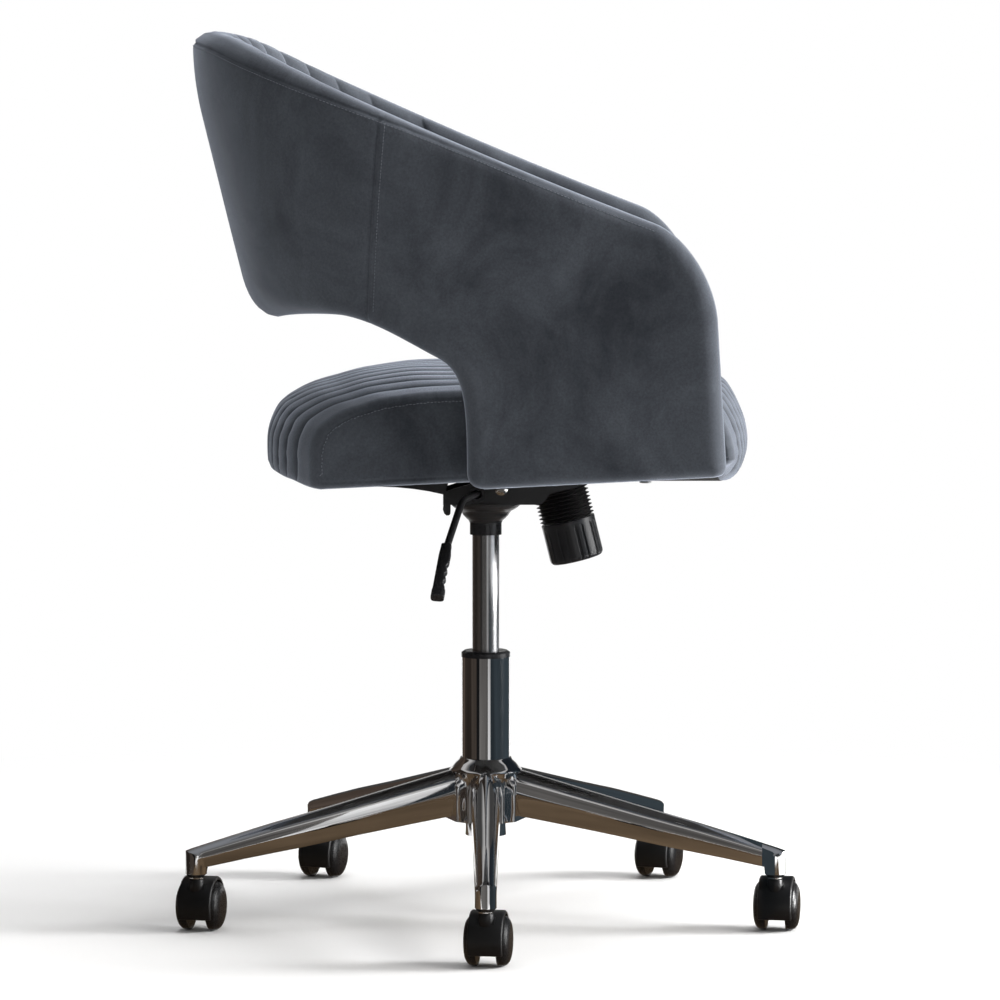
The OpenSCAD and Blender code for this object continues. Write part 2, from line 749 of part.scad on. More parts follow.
color(black) arm_bracket(1);  // arm_bracket_left
color(black) arm_bracket(-1);  // arm_bracket_right
color(steel) bracket_bolts();
color(black) lever_bush();
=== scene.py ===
"""Looks of the swivel office chair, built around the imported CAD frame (metres, front towards -Y)."""
import json
import math

import bmesh
import bpy
import numpy as np
from mathutils import Matrix, Vector, noise
from mathutils.geometry import delaunay_2d_cdt


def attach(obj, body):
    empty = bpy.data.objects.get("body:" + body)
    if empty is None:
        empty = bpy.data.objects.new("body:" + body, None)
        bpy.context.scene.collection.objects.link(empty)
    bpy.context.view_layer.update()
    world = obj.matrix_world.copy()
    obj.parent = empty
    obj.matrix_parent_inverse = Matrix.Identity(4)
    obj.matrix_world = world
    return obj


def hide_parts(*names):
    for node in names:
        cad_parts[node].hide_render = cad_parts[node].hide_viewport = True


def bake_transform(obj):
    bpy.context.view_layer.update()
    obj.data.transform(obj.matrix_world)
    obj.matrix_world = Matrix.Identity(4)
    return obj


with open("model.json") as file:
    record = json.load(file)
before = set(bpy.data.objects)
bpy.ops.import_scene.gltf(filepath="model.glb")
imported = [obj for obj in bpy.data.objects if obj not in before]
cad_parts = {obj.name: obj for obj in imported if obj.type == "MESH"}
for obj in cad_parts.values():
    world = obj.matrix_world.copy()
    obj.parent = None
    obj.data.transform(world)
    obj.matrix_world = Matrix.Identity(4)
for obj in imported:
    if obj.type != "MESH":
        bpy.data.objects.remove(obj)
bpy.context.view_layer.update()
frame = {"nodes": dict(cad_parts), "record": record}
nodes = frame["nodes"]
MM = 0.001

# ---------------------------------------------------------------- camera, light, floor


def look_at(obj, target):
    obj.rotation_euler = (Vector(target) - obj.location).to_track_quat("-Z", "Y").to_euler()


def make_camera():
    cam = bpy.data.cameras.new("camera")
    cam.sensor_width = 36
    cam.lens = 194.76
    cam.shift_x = 0.01425
    cam.clip_end = 60
    obj = bpy.data.objects.new("camera", cam)
    obj.location = (-5.588, 0, 0.9295)
    obj.rotation_euler = (math.pi / 2 - 0.0879, 0, -math.pi / 2)
    bpy.context.scene.collection.objects.link(obj)
    bpy.context.scene.camera = obj


def area_light(name, place, target, size, power, colour=(1, 1, 1)):
    data = bpy.data.lights.new(name, "AREA")
    data.shape = "RECTANGLE"
    data.size, data.size_y = size
    data.energy = power
    data.color = colour
    obj = bpy.data.objects.new(name, data)
    obj.location = place
    obj.visible_camera = False
    look_at(obj, target)
    bpy.context.scene.collection.objects.link(obj)
    return obj


def make_world():
    """Soft grey studio: bright low down, dark at eye level, a pale ceiling with a dark middle."""
    world = bpy.data.worlds.new("studio")
    bpy.context.scene.world = world
    world.use_nodes = True
    nt = world.node_tree
    nt.nodes.clear()
    out = nt.nodes.new("ShaderNodeOutputWorld")
    bg = nt.nodes.new("ShaderNodeBackground")
    coord = nt.nodes.new("ShaderNodeTexCoord")
    split = nt.nodes.new("ShaderNodeSeparateXYZ")
    nt.links.new(coord.outputs["Generated"], split.inputs[0])
    ramp = ramp_node(nt, split.outputs["Z"], [(0.0, (1.0, 1.0, 1.0))] + [
        (pos, (v, v * 0.985, v * 0.97)) for pos, v in
        ((0.06, 0.9), (0.14, 0.06), (0.40, 0.05), (0.52, 0.42), (0.74, 0.50), (0.82, 0.10))] + [
        (1.0, (0.22, 0.23, 0.25))])
    nt.links.new(ramp.outputs[0], bg.inputs["Color"])
    white_out(nt, None, out, bg.outputs[0], "ShaderNodeBackground")


def card(name, corners, colour, strength):
    """A coloured panel that only polished surfaces see, as the boards round a studio set."""
    obj = mesh_obj(name, corners, [(0, 1, 2, 3)])
    mat = bpy.data.materials.new(name)
    mat.use_nodes = True
    nt = mat.node_tree
    nt.nodes.clear()
    out = nt.nodes.new("ShaderNodeOutputMaterial")
    glow = nt.nodes.new("ShaderNodeEmission")
    glow.inputs["Strength"].default_value = strength
    tex = noise_node(nt, 1.7, 5, 0.6)
    ramp = ramp_node(nt, tex.outputs["Fac"], [(0.35, tuple(c * 0.35 for c in colour)), (0.7, colour)])
    nt.links.new(ramp.outputs[0], glow.inputs["Color"])
    nt.links.new(glow.outputs[0], out.inputs[0])
    give(obj, mat)
    obj.visible_camera = obj.visible_diffuse = obj.visible_shadow = False
    obj.visible_transmission = False


def make_cards():
    """Panels round the chair, by azimuth from the camera's side: brown, grey, white, blue-black; and a tan floor."""
    radius, floor_z, sill, top = 0.66, 0.004, 0.30, 0.72
    bands = ((-150, -118, (0.10, 0.075, 0.06), 1.0, floor_z, top),
             (-118, -72, (0.035, 0.027, 0.022), 1.0, floor_z, top),
             (-72, -44, (0.075, 0.060, 0.05), 1.0, floor_z, top), (-44, -30, (0.012, 0.012, 0.013), 1.0, floor_z, top),
             (-30, 10, (0.21, 0.20, 0.19), 0.9, floor_z, top), (10, 22, (0.9, 0.9, 0.9), 1.3, floor_z, top),
             (22, 150, (0.050, 0.066, 0.078), 1.0, floor_z, sill), (22, 50, (0.030, 0.036, 0.044), 1.0, sill, top),
             (50, 75, (0.36, 0.43, 0.50), 1.2, sill, top), (75, 150, (0.020, 0.026, 0.034), 1.0, sill, top))
    for k, (a0, a1, colour, strength, low, high) in enumerate(bands):
        pts = []
        for a, z in ((a0, low), (a1, low), (a1, high), (a0, high)):
            t = math.radians(a)
            pts.append((-radius * math.cos(t), -radius * math.sin(t), z))
        card("card_%d" % k, pts, colour, strength)
    h = 0.55
    card("card_floor", [(-h, -h, 0.003), (h, -h, 0.003), (h, h, 0.003), (-h, h, 0.003)], (0.36, 0.25, 0.155), 0.48)


def make_floor():
    """Round pale floor with no wall, so no view is blocked; further out the camera sees it plain white."""
    sides, radius = 96, 25.0
    ring = [(radius * math.cos(2 * math.pi * k / sides), radius * math.sin(2 * math.pi * k / sides), 0.0)
            for k in range(sides)]
    floor = mesh_obj("studio_floor", ring, [tuple(range(sides))])
    mat, bsdf, nt = new_material("floor_paint")
    bsdf.inputs["Roughness"].default_value = 0.85
    bsdf.inputs["Specular IOR Level"].default_value = 0.15
    mottled(nt, bsdf, (0.93, 0.928, 0.925), (0.90, 0.898, 0.895), scale=1.2)
    coord = nt.nodes.new("ShaderNodeTexCoord")
    length = nt.nodes.new("ShaderNodeVectorMath")
    length.operation = "LENGTH"
    nt.links.new(coord.outputs["Object"], length.inputs[0])
    fade = nt.nodes.new("ShaderNodeMapRange")
    fade.interpolation_type = "SMOOTHSTEP"
    fade.inputs["From Min"].default_value = 0.50
    fade.inputs["From Max"].default_value = 1.35
    nt.links.new(length.outputs["Value"], fade.inputs["Value"])
    white_out(nt, fade.outputs[0], nt.nodes["Material Output"], bsdf.outputs[0], "ShaderNodeEmission")
    give(floor, mat)


def white_out(nt, amount, output, shader, kind):
    """Plain white for what the camera sees straight, by amount; light and reflections keep the shader."""
    path = nt.nodes.new("ShaderNodeLightPath")
    white = nt.nodes.new(kind)
    white.inputs["Color"].default_value = (1, 1, 1, 1)
    mix = nt.nodes.new("ShaderNodeMixShader")
    if amount is None:
        nt.links.new(path.outputs["Is Camera Ray"], mix.inputs[0])
    else:
        both = nt.nodes.new("ShaderNodeMath")
        both.operation = "MULTIPLY"
        nt.links.new(path.outputs["Is Camera Ray"], both.inputs[0])
        nt.links.new(amount, both.inputs[1])
        nt.links.new(both.outputs[0], mix.inputs[0])
    nt.links.new(shader, mix.inputs[1])
    nt.links.new(white.outputs[0], mix.inputs[2])
    nt.links.new(mix.outputs[0], output.inputs[0])


# ---------------------------------------------------------------- mesh and material helpers


def mesh_obj(name, verts, faces, smooth=True):
    me = bpy.data.meshes.new(name)
    me.from_pydata([tuple(v) for v in verts], [], [tuple(f) for f in faces])
    me.update()
    if smooth:
        me.polygons.foreach_set("use_smooth", [True] * len(me.polygons))
    obj = bpy.data.objects.new(name, me)
    bpy.context.scene.collection.objects.link(obj)
    return obj


def give(obj, *mats):
    obj.data.materials.clear()
    for m in mats:
        obj.data.materials.append(m)
    return obj


def fix_normals(obj):
    bm = bmesh.new()
    bm.from_mesh(obj.data)
    bmesh.ops.recalc_face_normals(bm, faces=bm.faces)
    bm.to_mesh(obj.data)
    bm.free()


def new_material(name):
    mat = bpy.data.materials.new(name)
    mat.use_nodes = True
    nt = mat.node_tree
    return mat, nt.nodes["Principled BSDF"], nt


def noise_node(nt, scale, detail=4, rough=0.6, distortion=0.0, stretch=None):
    coord = nt.nodes.new("ShaderNodeTexCoord")
    tex = nt.nodes.new("ShaderNodeTexNoise")
    tex.inputs["Scale"].default_value = scale
    tex.inputs["Detail"].default_value = detail
    tex.inputs["Roughness"].default_value = rough
    tex.inputs["Distortion"].default_value = distortion
    if stretch:
        mapping = nt.nodes.new("ShaderNodeMapping")
        mapping.inputs["Scale"].default_value = stretch
        nt.links.new(coord.outputs["Object"], mapping.inputs[0])
        nt.links.new(mapping.outputs[0], tex.inputs["Vector"])
    else:
        nt.links.new(coord.outputs["Object"], tex.inputs["Vector"])
    return tex


def ramp_node(nt, source, stops):
    ramp = nt.nodes.new("ShaderNodeValToRGB")
    e = ramp.color_ramp.elements
    e[0].position, e[0].color = stops[0][0], (*stops[0][1], 1)
    e[1].position, e[1].color = stops[-1][0], (*stops[-1][1], 1)
    for pos, col in stops[1:-1]:
        e.new(pos).color = (*col, 1)
    nt.links.new(source, ramp.inputs[0])
    return ramp


def mottled(nt, bsdf, a, b, scale, detail=5, low=0.35, high=0.65, stretch=None):
    tex = noise_node(nt, scale, detail, stretch=stretch)
    ramp = ramp_node(nt, tex.outputs["Fac"], [(low, a), (high, b)])
    nt.links.new(ramp.outputs[0], bsdf.inputs["Base Color"])
    return ramp


def bump(nt, bsdf, source, strength, distance, under=None):
    node = nt.nodes.new("ShaderNodeBump")
    node.inputs["Strength"].default_value = strength
    node.inputs["Distance"].default_value = distance
    nt.links.new(source, node.inputs["Height"])
    if under:
        nt.links.new(under.outputs[0], node.inputs["Normal"])
    nt.links.new(node.outputs[0], bsdf.inputs["Normal"])
    return node


def rough_from(nt, bsdf, source, low, high):
    m = nt.nodes.new("ShaderNodeMapRange")
    m.inputs["To Min"].default_value = low
    m.inputs["To Max"].default_value = high
    nt.links.new(source, m.inputs["Value"])
    nt.links.new(m.outputs[0], bsdf.inputs["Roughness"])


def velvet(name, dark, light, sheen):
    """Short-pile velvet: brushed patches of light and dark pile, a sheen, and a fine nap."""
    mat, bsdf, nt = new_material(name)
    patches = noise_node(nt, 9, 6, 0.62, 0.6, (1, 1, 0.8))
    ramp = ramp_node(nt, patches.outputs["Fac"], [(0.30, dark), (0.5, tuple((p + q) / 2 for p, q in zip(dark, light))),
                                                  (0.72, light)])
    fine = noise_node(nt, 420, 3, 0.7)
    speck = ramp_node(nt, fine.outputs["Fac"], [(0.3, (0.82, 0.82, 0.82)), (0.7, (1.12, 1.12, 1.12))])
    mix = nt.nodes.new("ShaderNodeMix")
    mix.data_type, mix.blend_type = "RGBA", "MULTIPLY"
    mix.inputs["Factor"].default_value = 1
    nt.links.new(ramp.outputs[0], mix.inputs["A"])
    nt.links.new(speck.outputs[0], mix.inputs["B"])
    nt.links.new(mix.outputs["Result"], bsdf.inputs["Base Color"])
    bsdf.inputs["Roughness"].default_value = 0.92
    bsdf.inputs["Specular IOR Level"].default_value = 0.12
    bsdf.inputs["Sheen Weight"].default_value = sheen
    bsdf.inputs["Sheen Roughness"].default_value = 0.38
    bsdf.inputs["Sheen Tint"].default_value = (0.62, 0.68, 0.80, 1)
    nap = noise_node(nt, 1500, 2, 0.8)
    b = bump(nt, bsdf, nap.outputs["Fac"], 0.25, 0.0006)
    bump(nt, bsdf, patches.outputs["Fac"], 0.12, 0.004, b)
    return mat


def metal(name, colour, rough, wear=0.03, scale=60, stretch=None):
    mat, bsdf, nt = new_material(name)
    tint = tuple(c * 0.93 for c in colour)
    mottled(nt, bsdf, colour, tint, scale=6)
    bsdf.inputs["Metallic"].default_value = 1
    tex = noise_node(nt, scale, 4, 0.6, 0, stretch)
    rough_from(nt, bsdf, tex.outputs["Fac"], max(0.01, rough - wear), rough + wear)
    return mat, bsdf, nt


def plastic(name, colour, rough, grain=0.25, grain_scale=700, coat=0.0):
    mat, bsdf, nt = new_material(name)
    mottled(nt, bsdf, colour, tuple(c * 1.35 for c in colour), scale=14)
    tex = noise_node(nt, grain_scale, 3, 0.6)
    rough_from(nt, bsdf, tex.outputs["Fac"], rough - 0.07, rough + 0.07)
    bump(nt, bsdf, tex.outputs["Fac"], grain, 0.0004)
    bsdf.inputs["Coat Weight"].default_value = coat
    return mat


MAT = {}


def make_materials():
    MAT["velvet"] = velvet("velvet", (0.024, 0.027, 0.033), (0.066, 0.073, 0.085), 0.60)
    MAT["thread"] = plastic("thread", (0.10, 0.11, 0.13), 0.7, 0.6, 1800)
    MAT["chrome"] = metal("chrome", (0.86, 0.86, 0.87), 0.05, 0.03)[0]
    MAT["nickel"] = metal("nickel", (0.72, 0.71, 0.69), 0.22, 0.06)[0]
    MAT["steel"] = metal("steel", (0.55, 0.55, 0.56), 0.35, 0.08)[0]
    MAT["cylinder_steel"] = metal("cylinder_steel", (0.60, 0.60, 0.61), 0.22, 0.06, 40, (60, 60, 1))[0]
    MAT["black_paint"] = plastic("black_paint", (0.010, 0.010, 0.011), 0.36, 0.35, 420)
    MAT["black_plastic"] = plastic("black_plastic", (0.010, 0.010, 0.011), 0.22, 0.25, 900)
    MAT["caster_plastic"] = plastic("caster_plastic", (0.004, 0.004, 0.0045), 0.34, 0.22, 900)
    MAT["wheel_plastic"] = plastic("wheel_plastic", (0.004, 0.004, 0.0045), 0.28, 0.15, 900)
    MAT["black_rubber"] = plastic("black_rubber", (0.008, 0.008, 0.008), 0.30, 0.3, 900)
    mat, bsdf, nt = new_material("plywood")
    tex = noise_node(nt, 12, 6, 0.6, 0.4, (1, 14, 14))
    ramp = ramp_node(nt, tex.outputs["Fac"], [(0.3, (0.42, 0.27, 0.14)), (0.7, (0.62, 0.44, 0.26))])
    nt.links.new(ramp.outputs[0], bsdf.inputs["Base Color"])
    bsdf.inputs["Roughness"].default_value = 0.7
    bump(nt, bsdf, tex.outputs["Fac"], 0.2, 0.001)
    MAT["plywood"] = mat
    MAT["lining"] = plastic("lining", (0.020, 0.020, 0.020), 0.9, 0.8, 1300)


make_materials()
make_camera()
make_world()
make_floor()
make_cards()
key = area_light("key", (-1.6, -2.8, 3.0), (0, 0, 0.55), (1.6, 1.6), 64, (1.0, 0.985, 0.96))
area_light("fill", (-3.4, 2.6, 1.9), (0, 0, 0.55), (2.2, 2.2), 14, (0.93, 0.96, 1.0))
top_light = area_light("top", (0.4, -0.2, 3.6), (0, 0, 0.4), (2.4, 2.4), 85)
area_light("front_rim", (-0.15, -3.6, 1.0), (0, -0.2, 0.6), (1.2, 2.2), 300)
key.visible_glossy = top_light.visible_glossy = False
bpy.context.scene.view_settings.view_transform = "Standard"
bpy.context.scene.view_settings.look = "None"

for part in frame["record"]["subparts"]:
    give(nodes[part["node"]], MAT[part["material_slot"]])

# ---------------------------------------------------------------- tub shell

HALF_W, TUB_Y, REACH, POWER = 0.263, 0.035, 0.195, 0.85
LEAN, LEAN_Z, LEAN_STOP = 0.245, 0.675, 0.835
HALF_T = 0.022


def lean_at(z):
    """How far the back has moved to the rear at height z; it turns upright near the rim."""
    z = np.asarray(z, float)
    t = np.clip(z - LEAN_STOP, 0, 0.075)
    return LEAN * (np.minimum(z, LEAN_STOP) - LEAN_Z) + LEAN * (t - t * t / 0.15)


def plan_table():
    a = np.radians(np.concatenate([np.linspace(0, 2, 60) ** 1, np.linspace(2, 90, 900)[1:]]))
    x = HALF_W * np.sin(a) ** POWER
    y = TUB_Y + REACH * np.clip(np.cos(a), 0, 1) ** POWER
    x = np.append(x, HALF_W)
    y = np.append(y, -0.32)
    q = np.concatenate([[0], np.cumsum(np.hypot(np.diff(x), np.diff(y)))])
    return q, x, y, np.append(a, a[-1])


PLAN_Q, PLAN_X, PLAN_Y, PLAN_A = plan_table()


def plan_point(q):
    """Point and outward normal of the tub's middle surface at path distance q from the back's middle."""
    sign = np.where(q < 0, -1.0, 1.0)
    m = np.abs(q)
    x = np.interp(m, PLAN_Q, PLAN_X)
    y = np.interp(m, PLAN_Q, PLAN_Y)
    e = 0.006
    dx = np.interp(m + e, PLAN_Q, PLAN_X) - np.interp(np.abs(m - e), PLAN_Q, PLAN_X) * np.where(m < e, -1, 1)
    dy = np.interp(m + e, PLAN_Q, PLAN_Y) - np.interp(np.abs(m - e), PLAN_Q, PLAN_Y)
    n = np.hypot(dx, dy)
    return sign * x, y, sign * (-dy / n), dx / n


def q_at(s, z):
    """Path distance of the middle surface where it passes s ahead of the column, at height z."""
    y = -np.asarray(s, float) - lean_at(z)
    return np.interp(-y, -PLAN_Y, PLAN_Q)


def cubic(p, n):
    t = np.linspace(0, 1, n + 1)[:, None]
    p = np.array(p, float)
    return (1 - t) ** 3 * p[0] + 3 * (1 - t) ** 2 * t * p[1] + 3 * (1 - t) * t * t * p[2] + t ** 3 * p[3]


def rim_z(s):
    t = (s + 243) / 409
    z = 910 - 176.4 * t - 20 * t * (1 - t)
    u = np.clip(-243 - s, 0, 40)
    return np.where(s < -243, 910 + 0.48 * u - 0.00439 * u * u, z)


def shell_outline():
    """Half outline of the tub in (q, z), from the rim's middle round the arm to the lower edge's middle.
    Each point carries its edge's radius outside and inside, and 1 where the rim's seam follows it."""
    s = np.linspace(-278.4, 166, 90)
    top = np.stack([s, rim_z(s)], 1)
    front = np.concatenate([cubic([[166, 733.6], [194, 723], [224, 682], [228.5, 640]], 16)[1:],
                            np.stack([np.linspace(228.5, 237.5, 20), np.linspace(640, 496, 20)], 1)[1:]])
    low = np.concatenate([
        cubic([[237.5, 496], [238, 486], [234, 483.2], [225, 482.4]], 5)[1:],
        np.stack([np.linspace(225, 2, 40), np.linspace(482.4, 471, 40)], 1)[1:],
        cubic([[2, 471], [-12, 470.4], [-18.5, 477], [-18.5, 488]], 7)[1:],
        cubic([[-18.5, 488], [-18.5, 560], [-22, 588], [-48, 601]], 26)[1:],
        cubic([[-48, 601], [-80, 617], [-110, 641], [-150, 641.5]], 20)[1:]])
    pts, radius = [], []
    for part, r_out, r_in, seam in ((top, 19, 20, 1), (front, 17, 17, 0), (low, 13, 11, 0)):
        for p in part:
            pts.append((float(q_at(p[0] * MM, p[1] * MM)), p[1] * MM))
            radius.append((r_out * MM, r_in * MM, seam))
    # the back's lower edge, by path distance, with its large outer radius
    q0, z0 = pts[-1]
    for t in np.linspace(0, 1, 60)[1:]:
        ease = t * t * (3 - 2 * t)
        pts.append((q0 * (1 - t), z0 + (0.6325 - z0) * min(1, ease * 1.6)))
        radius.append((0.013 + 0.025 * min(1, ease * 2.2), 0.011 + 0.003 * ease, 0))
    pts[0] = (0.0, pts[0][1])
    return np.array(pts), np.array(radius)


def resample(pts, extra, step):
    seg = np.hypot(*np.diff(pts, axis=0).T)
    along = np.concatenate([[0], np.cumsum(seg)])
    n = max(2, int(round(along[-1] / step)))
    t = np.linspace(0, along[-1], n + 1)
    cols = [np.interp(t, along, c) for c in np.concatenate([pts, extra], 1).T]
    out = np.stack(cols, 1)
    return out[:, :2], out[:, 2:]


class Shell:
    """The tub's upholstery as a function of (q, z) on its middle surface."""

    def __init__(self):
        half, rad = shell_outline()
        half, rad = resample(half, rad, 0.0032)
        left = half[::-1] * [-1, 1]
        self.edge = np.concatenate([half[:-1], left[:-1]])
        self.rad = np.concatenate([rad[:-1], rad[::-1][:-1]])
        nxt = np.roll(self.edge, -1, 0) - np.roll(self.edge, 1, 0)
        nxt /= np.hypot(*nxt.T)[:, None]
        self.inward = np.stack([nxt[:, 1], -nxt[:, 0]], 1)
        area = np.sum(self.edge[:, 0] * np.roll(self.edge[:, 1], -1) - np.roll(self.edge[:, 0], -1) * self.edge[:, 1])
        if area > 0:
            self.inward = -self.inward
        self.creases = [19 + 38 * k for k in range(9)]
        self.creases = np.array(sorted([-c for c in self.creases] + self.creases)) * MM
        self.inner_seam = 0.376

    def measure(self, p):
        """Distance to the edge, its radii there, and the distance to the part of the edge that has the rim's seam."""
        d = np.full(len(p), 9.0)
        near = np.zeros(len(p), int)
        d_rim = np.full(len(p), 9.0)
        s_rim = np.zeros(len(p))
        rim = np.where(self.rad[:, 2] > 0.5)[0]
        a, b = self.edge, np.roll(self.edge, -1, 0)
        ab = b - a
        ll = np.sum(ab * ab, 1)
        for k in range(0, len(p), 2000):
            q = p[k:k + 2000]
            t = np.clip(((q[:, None] - a) * ab).sum(2) / ll, 0, 1)
            dist = np.hypot(*np.moveaxis(q[:, None] - (a + ab * t[:, :, None]), 2, 0))
            i = dist.argmin(1)
            near[k:k + 2000] = i
            d[k:k + 2000] = dist[np.arange(len(q)), i]
            j = dist[:, rim].argmin(1)
            d_rim[k:k + 2000] = dist[np.arange(len(q)), rim[j]]
            s_rim[k:k + 2000] = self.edge[rim[j], 0]
        return d, self.rad[near], d_rim, s_rim

    def rim_seam_depth(self, q_rim):
        """How far below the crest the outer seam runs, by path distance along the rim."""
        return np.interp(np.abs(q_rim), [0, 0.20, 0.27, 0.33, 0.37, 0.43, 0.60, 0.8],
                         [0.011, 0.0125, 0.0115, 0.0095, 0.0075, 0.0055, 0.0045, 0.0045])

    def seam_share(self, q_rim):
        """How deep the rim's seam is drawn in: it fades towards the front of each arm."""
        return np.clip((0.56 - np.abs(q_rim)) / 0.16, 0.22, 1)

    def side_seam_q(self, z):
        a = np.radians(68.6 + (np.asarray(z) * 1000 - 637) * 0.0776)
        return np.interp(a, PLAN_A[:-1], PLAN_Q[:-1])

    def half_thickness(self, p, outside):
        d, rad, d_rim, q_rim = self.measure(p)
        r = rad[:, 0 if outside else 1]
        t = np.clip(d / r, 0, 1)
        h = HALF_T * (1 - (1 - t) ** 2.1) ** (1 / 2.1)
        q, z = p[:, 0], p[:, 1]
        edge_fade = np.clip(d / 0.03, 0, 1)
        wob = np.array([noise.noise((a * 9, b * 9, 3.0 if outside else 8.0)) for a, b in p])
        h = h + 0.0011 * wob * edge_fade
        if outside:
            depth = self.rim_seam_depth(q_rim)
            x = d_rim - depth
            seam = self.seam_share(q_rim)
            h = h - seam * (0.0016 * np.exp(-(x / 0.0013) ** 2) - 0.0007 * np.exp(-((x + 0.0035) / 0.002) ** 2))
            side = np.abs(q) - self.side_seam_q(z)
            groove = np.exp(-(side / 0.0012) ** 2) * np.clip((x + 0.001) / 0.004, 0, 1)
            ridge = np.exp(-((side - 0.0030) / 0.0020) ** 2) * np.clip((x + 0.001) / 0.004, 0, 1)
            h = h - 0.0018 * groove * np.clip(d / 0.006, 0, 1) + 0.0006 * ridge * np.clip(d / 0.006, 0, 1)
            # puckers that fan out under the rim's seam
            ripple = np.sin(q / 0.0052 + 2.0 * np.sin(q / 0.031)) * np.exp(-np.clip(x, 0, 1) / 0.007)
            near_side = np.exp(-(side / 0.05) ** 2)
            h = h + 0.00032 * seam * ripple * (x > 0) * (0.4 + near_side)
        else:
            h = h + self.channels(q, d)
        return h

    def channels(self, q, d):
        """Relief of the inner side: padded channels between sewn creases, and a seam where the arms start."""
        edges = np.concatenate([[-self.inner_seam], self.creases, [self.inner_seam]])
        i = np.clip(np.searchsorted(edges, q) - 1, 0, len(edges) - 2)
        lo, hi = edges[i], edges[i + 1]
        t = np.clip((q - lo) / (hi - lo) * 2 - 1, -1, 1)
        puff = (1 - np.abs(t) ** 2.6)
        inside = np.abs(q) < self.inner_seam
        relief = np.where(inside, 0.0044 * puff - 0.0044,
                          -0.0044 * np.exp(-np.abs(np.abs(q) - self.inner_seam) / 0.004))
        # the arms' inner side swells again past its seam
        fade = np.clip((d + 0.004) / 0.012, 0, 1)
        return relief * fade

    def place(self, p, h):
        x, y, nx, ny = plan_point(p[:, 0])
        y = y + lean_at(p[:, 1])
        return np.stack([x + nx * h, y + ny * h, p[:, 1]], 1)

    def surface(self, p, outside):
        h = self.half_thickness(p, outside)
        return self.place(p, h if outside else -h)

    def points(self, outside):
        """Points of one side's triangulation: the edge, rings inside it, lines beside seams, and a field."""
        taken, kept = {}, []
        cell = 0.002

        def add(cands, gap, least=None):
            d = self.measure(cands)[0]
            for c, dist in zip(cands, d):
                if least is not None and dist < least:
                    continue
                key = (int(c[0] // cell), int(c[1] // cell))
                reach = int(gap // cell) + 1
                bad = False
                for i in range(-reach, reach + 1):
                    for j in range(-reach, reach + 1):
                        for o in taken.get((key[0] + i, key[1] + j), ()):
                            if (o[0] - c[0]) ** 2 + (o[1] - c[1]) ** 2 < gap * gap:
                                bad = True
                                break
                        if bad:
                            break
                    if bad:
                        break
                if not bad:
                    taken.setdefault(key, []).append(c)
                    kept.append(c)

        for c in self.edge:
            key = (int(c[0] // cell), int(c[1] // cell))
            taken.setdefault(key, []).append(c)
            kept.append(c)
        zs = np.arange(0.47, 0.925, 0.0045)
        if outside:
            depth = self.rim_seam_depth(self.edge[:, 0])
            rim = self.rad[:, 2] > 0.5
            for off in (0, -0.0012, 0.0012, -0.0032, 0.003, 0.006):
                line = (self.edge + self.inward * (depth + off)[:, None])[rim]
                add(self.keep_inside(line), 0.0010, 0.0008)
            for sgn in (-1, 1):
                for off in (0, -0.0012, 0.0012, 0.003, -0.003, 0.0055):
                    z = np.arange(0.60, 0.90, 0.003)
                    line = np.stack([sgn * (self.side_seam_q(z) + off), z], 1)
                    add(self.keep_inside(line), 0.0010, 0.004)
        else:
            lines = list(self.creases) + [-self.inner_seam, self.inner_seam]
            for c in lines:
                for off in (0, -0.0011, 0.0011, -0.0030, 0.0030, -0.0065, 0.0065):
                    z = np.arange(0.60, 0.925, 0.0036)
                    line = np.stack([np.full(len(z), c + off), z], 1)
                    add(self.keep_inside(line), 0.0010, 0.0012)
        for d in (0.0006, 0.002, 0.0042, 0.0072, 0.011, 0.0155, 0.021, 0.028, 0.036):
            line = self.edge + self.inward * d
            add(self.keep_inside(line), max(0.0013, min(0.0038, d * 0.62)), d * 0.9)
        step = 0.0052
        qs = np.arange(-0.66, 0.66, step)
        grid = np.array([(a + (0.5 * step if k % 2 else 0), b) for k, b in enumerate(zs) for a in qs])
        add(self.keep_inside(grid), 0.0036, 0.003)
        return np.array(kept)

    def keep_inside(self, pts):
        """The points that lie inside the panel's edge."""
        x, y = pts[:, 0], pts[:, 1]
        inside = np.zeros(len(pts), bool)
        a, b = self.edge, np.roll(self.edge, -1, 0)
        for (ax, ay), (bx, by) in zip(a, b):
            cross = ((ay > y) != (by > y))
            if cross.any():
                xs = (bx - ax) * (y - ay) / (by - ay + 1e-15) + ax
                inside ^= cross & (x < xs)
        return pts[inside]


def build_shell():
    shell = Shell()
    n = len(shell.edge)
    verts, faces = [], []
    base = {}
    for outside in (True, False):
        pts = shell.points(outside)
        out = delaunay_2d_cdt([Vector(p) for p in pts], [], [list(range(n))], 1, 1e-7)
        orig = [o[0] if o else -1 for o in out[3]]
        p2 = np.array([v[:] for v in out[0]])
        pos = shell.surface(p2, outside)
        index = {}
        for i, o in enumerate(orig):
            if 0 <= o < n:
                if outside:
                    verts.append(shell.place(p2[i:i + 1], np.zeros(1))[0])
                    index[i] = len(verts) - 1
                    base[o] = index[i]
                else:
                    index[i] = base[o]
            else:
                verts.append(pos[i])
                index[i] = len(verts) - 1
        for f in out[2]:
            g = [index[i] for i in f]
            faces.append(g if outside else g[::-1])
    obj = mesh_obj("tub_upholstery", verts, faces)
    fix_normals(obj)
    return obj, shell


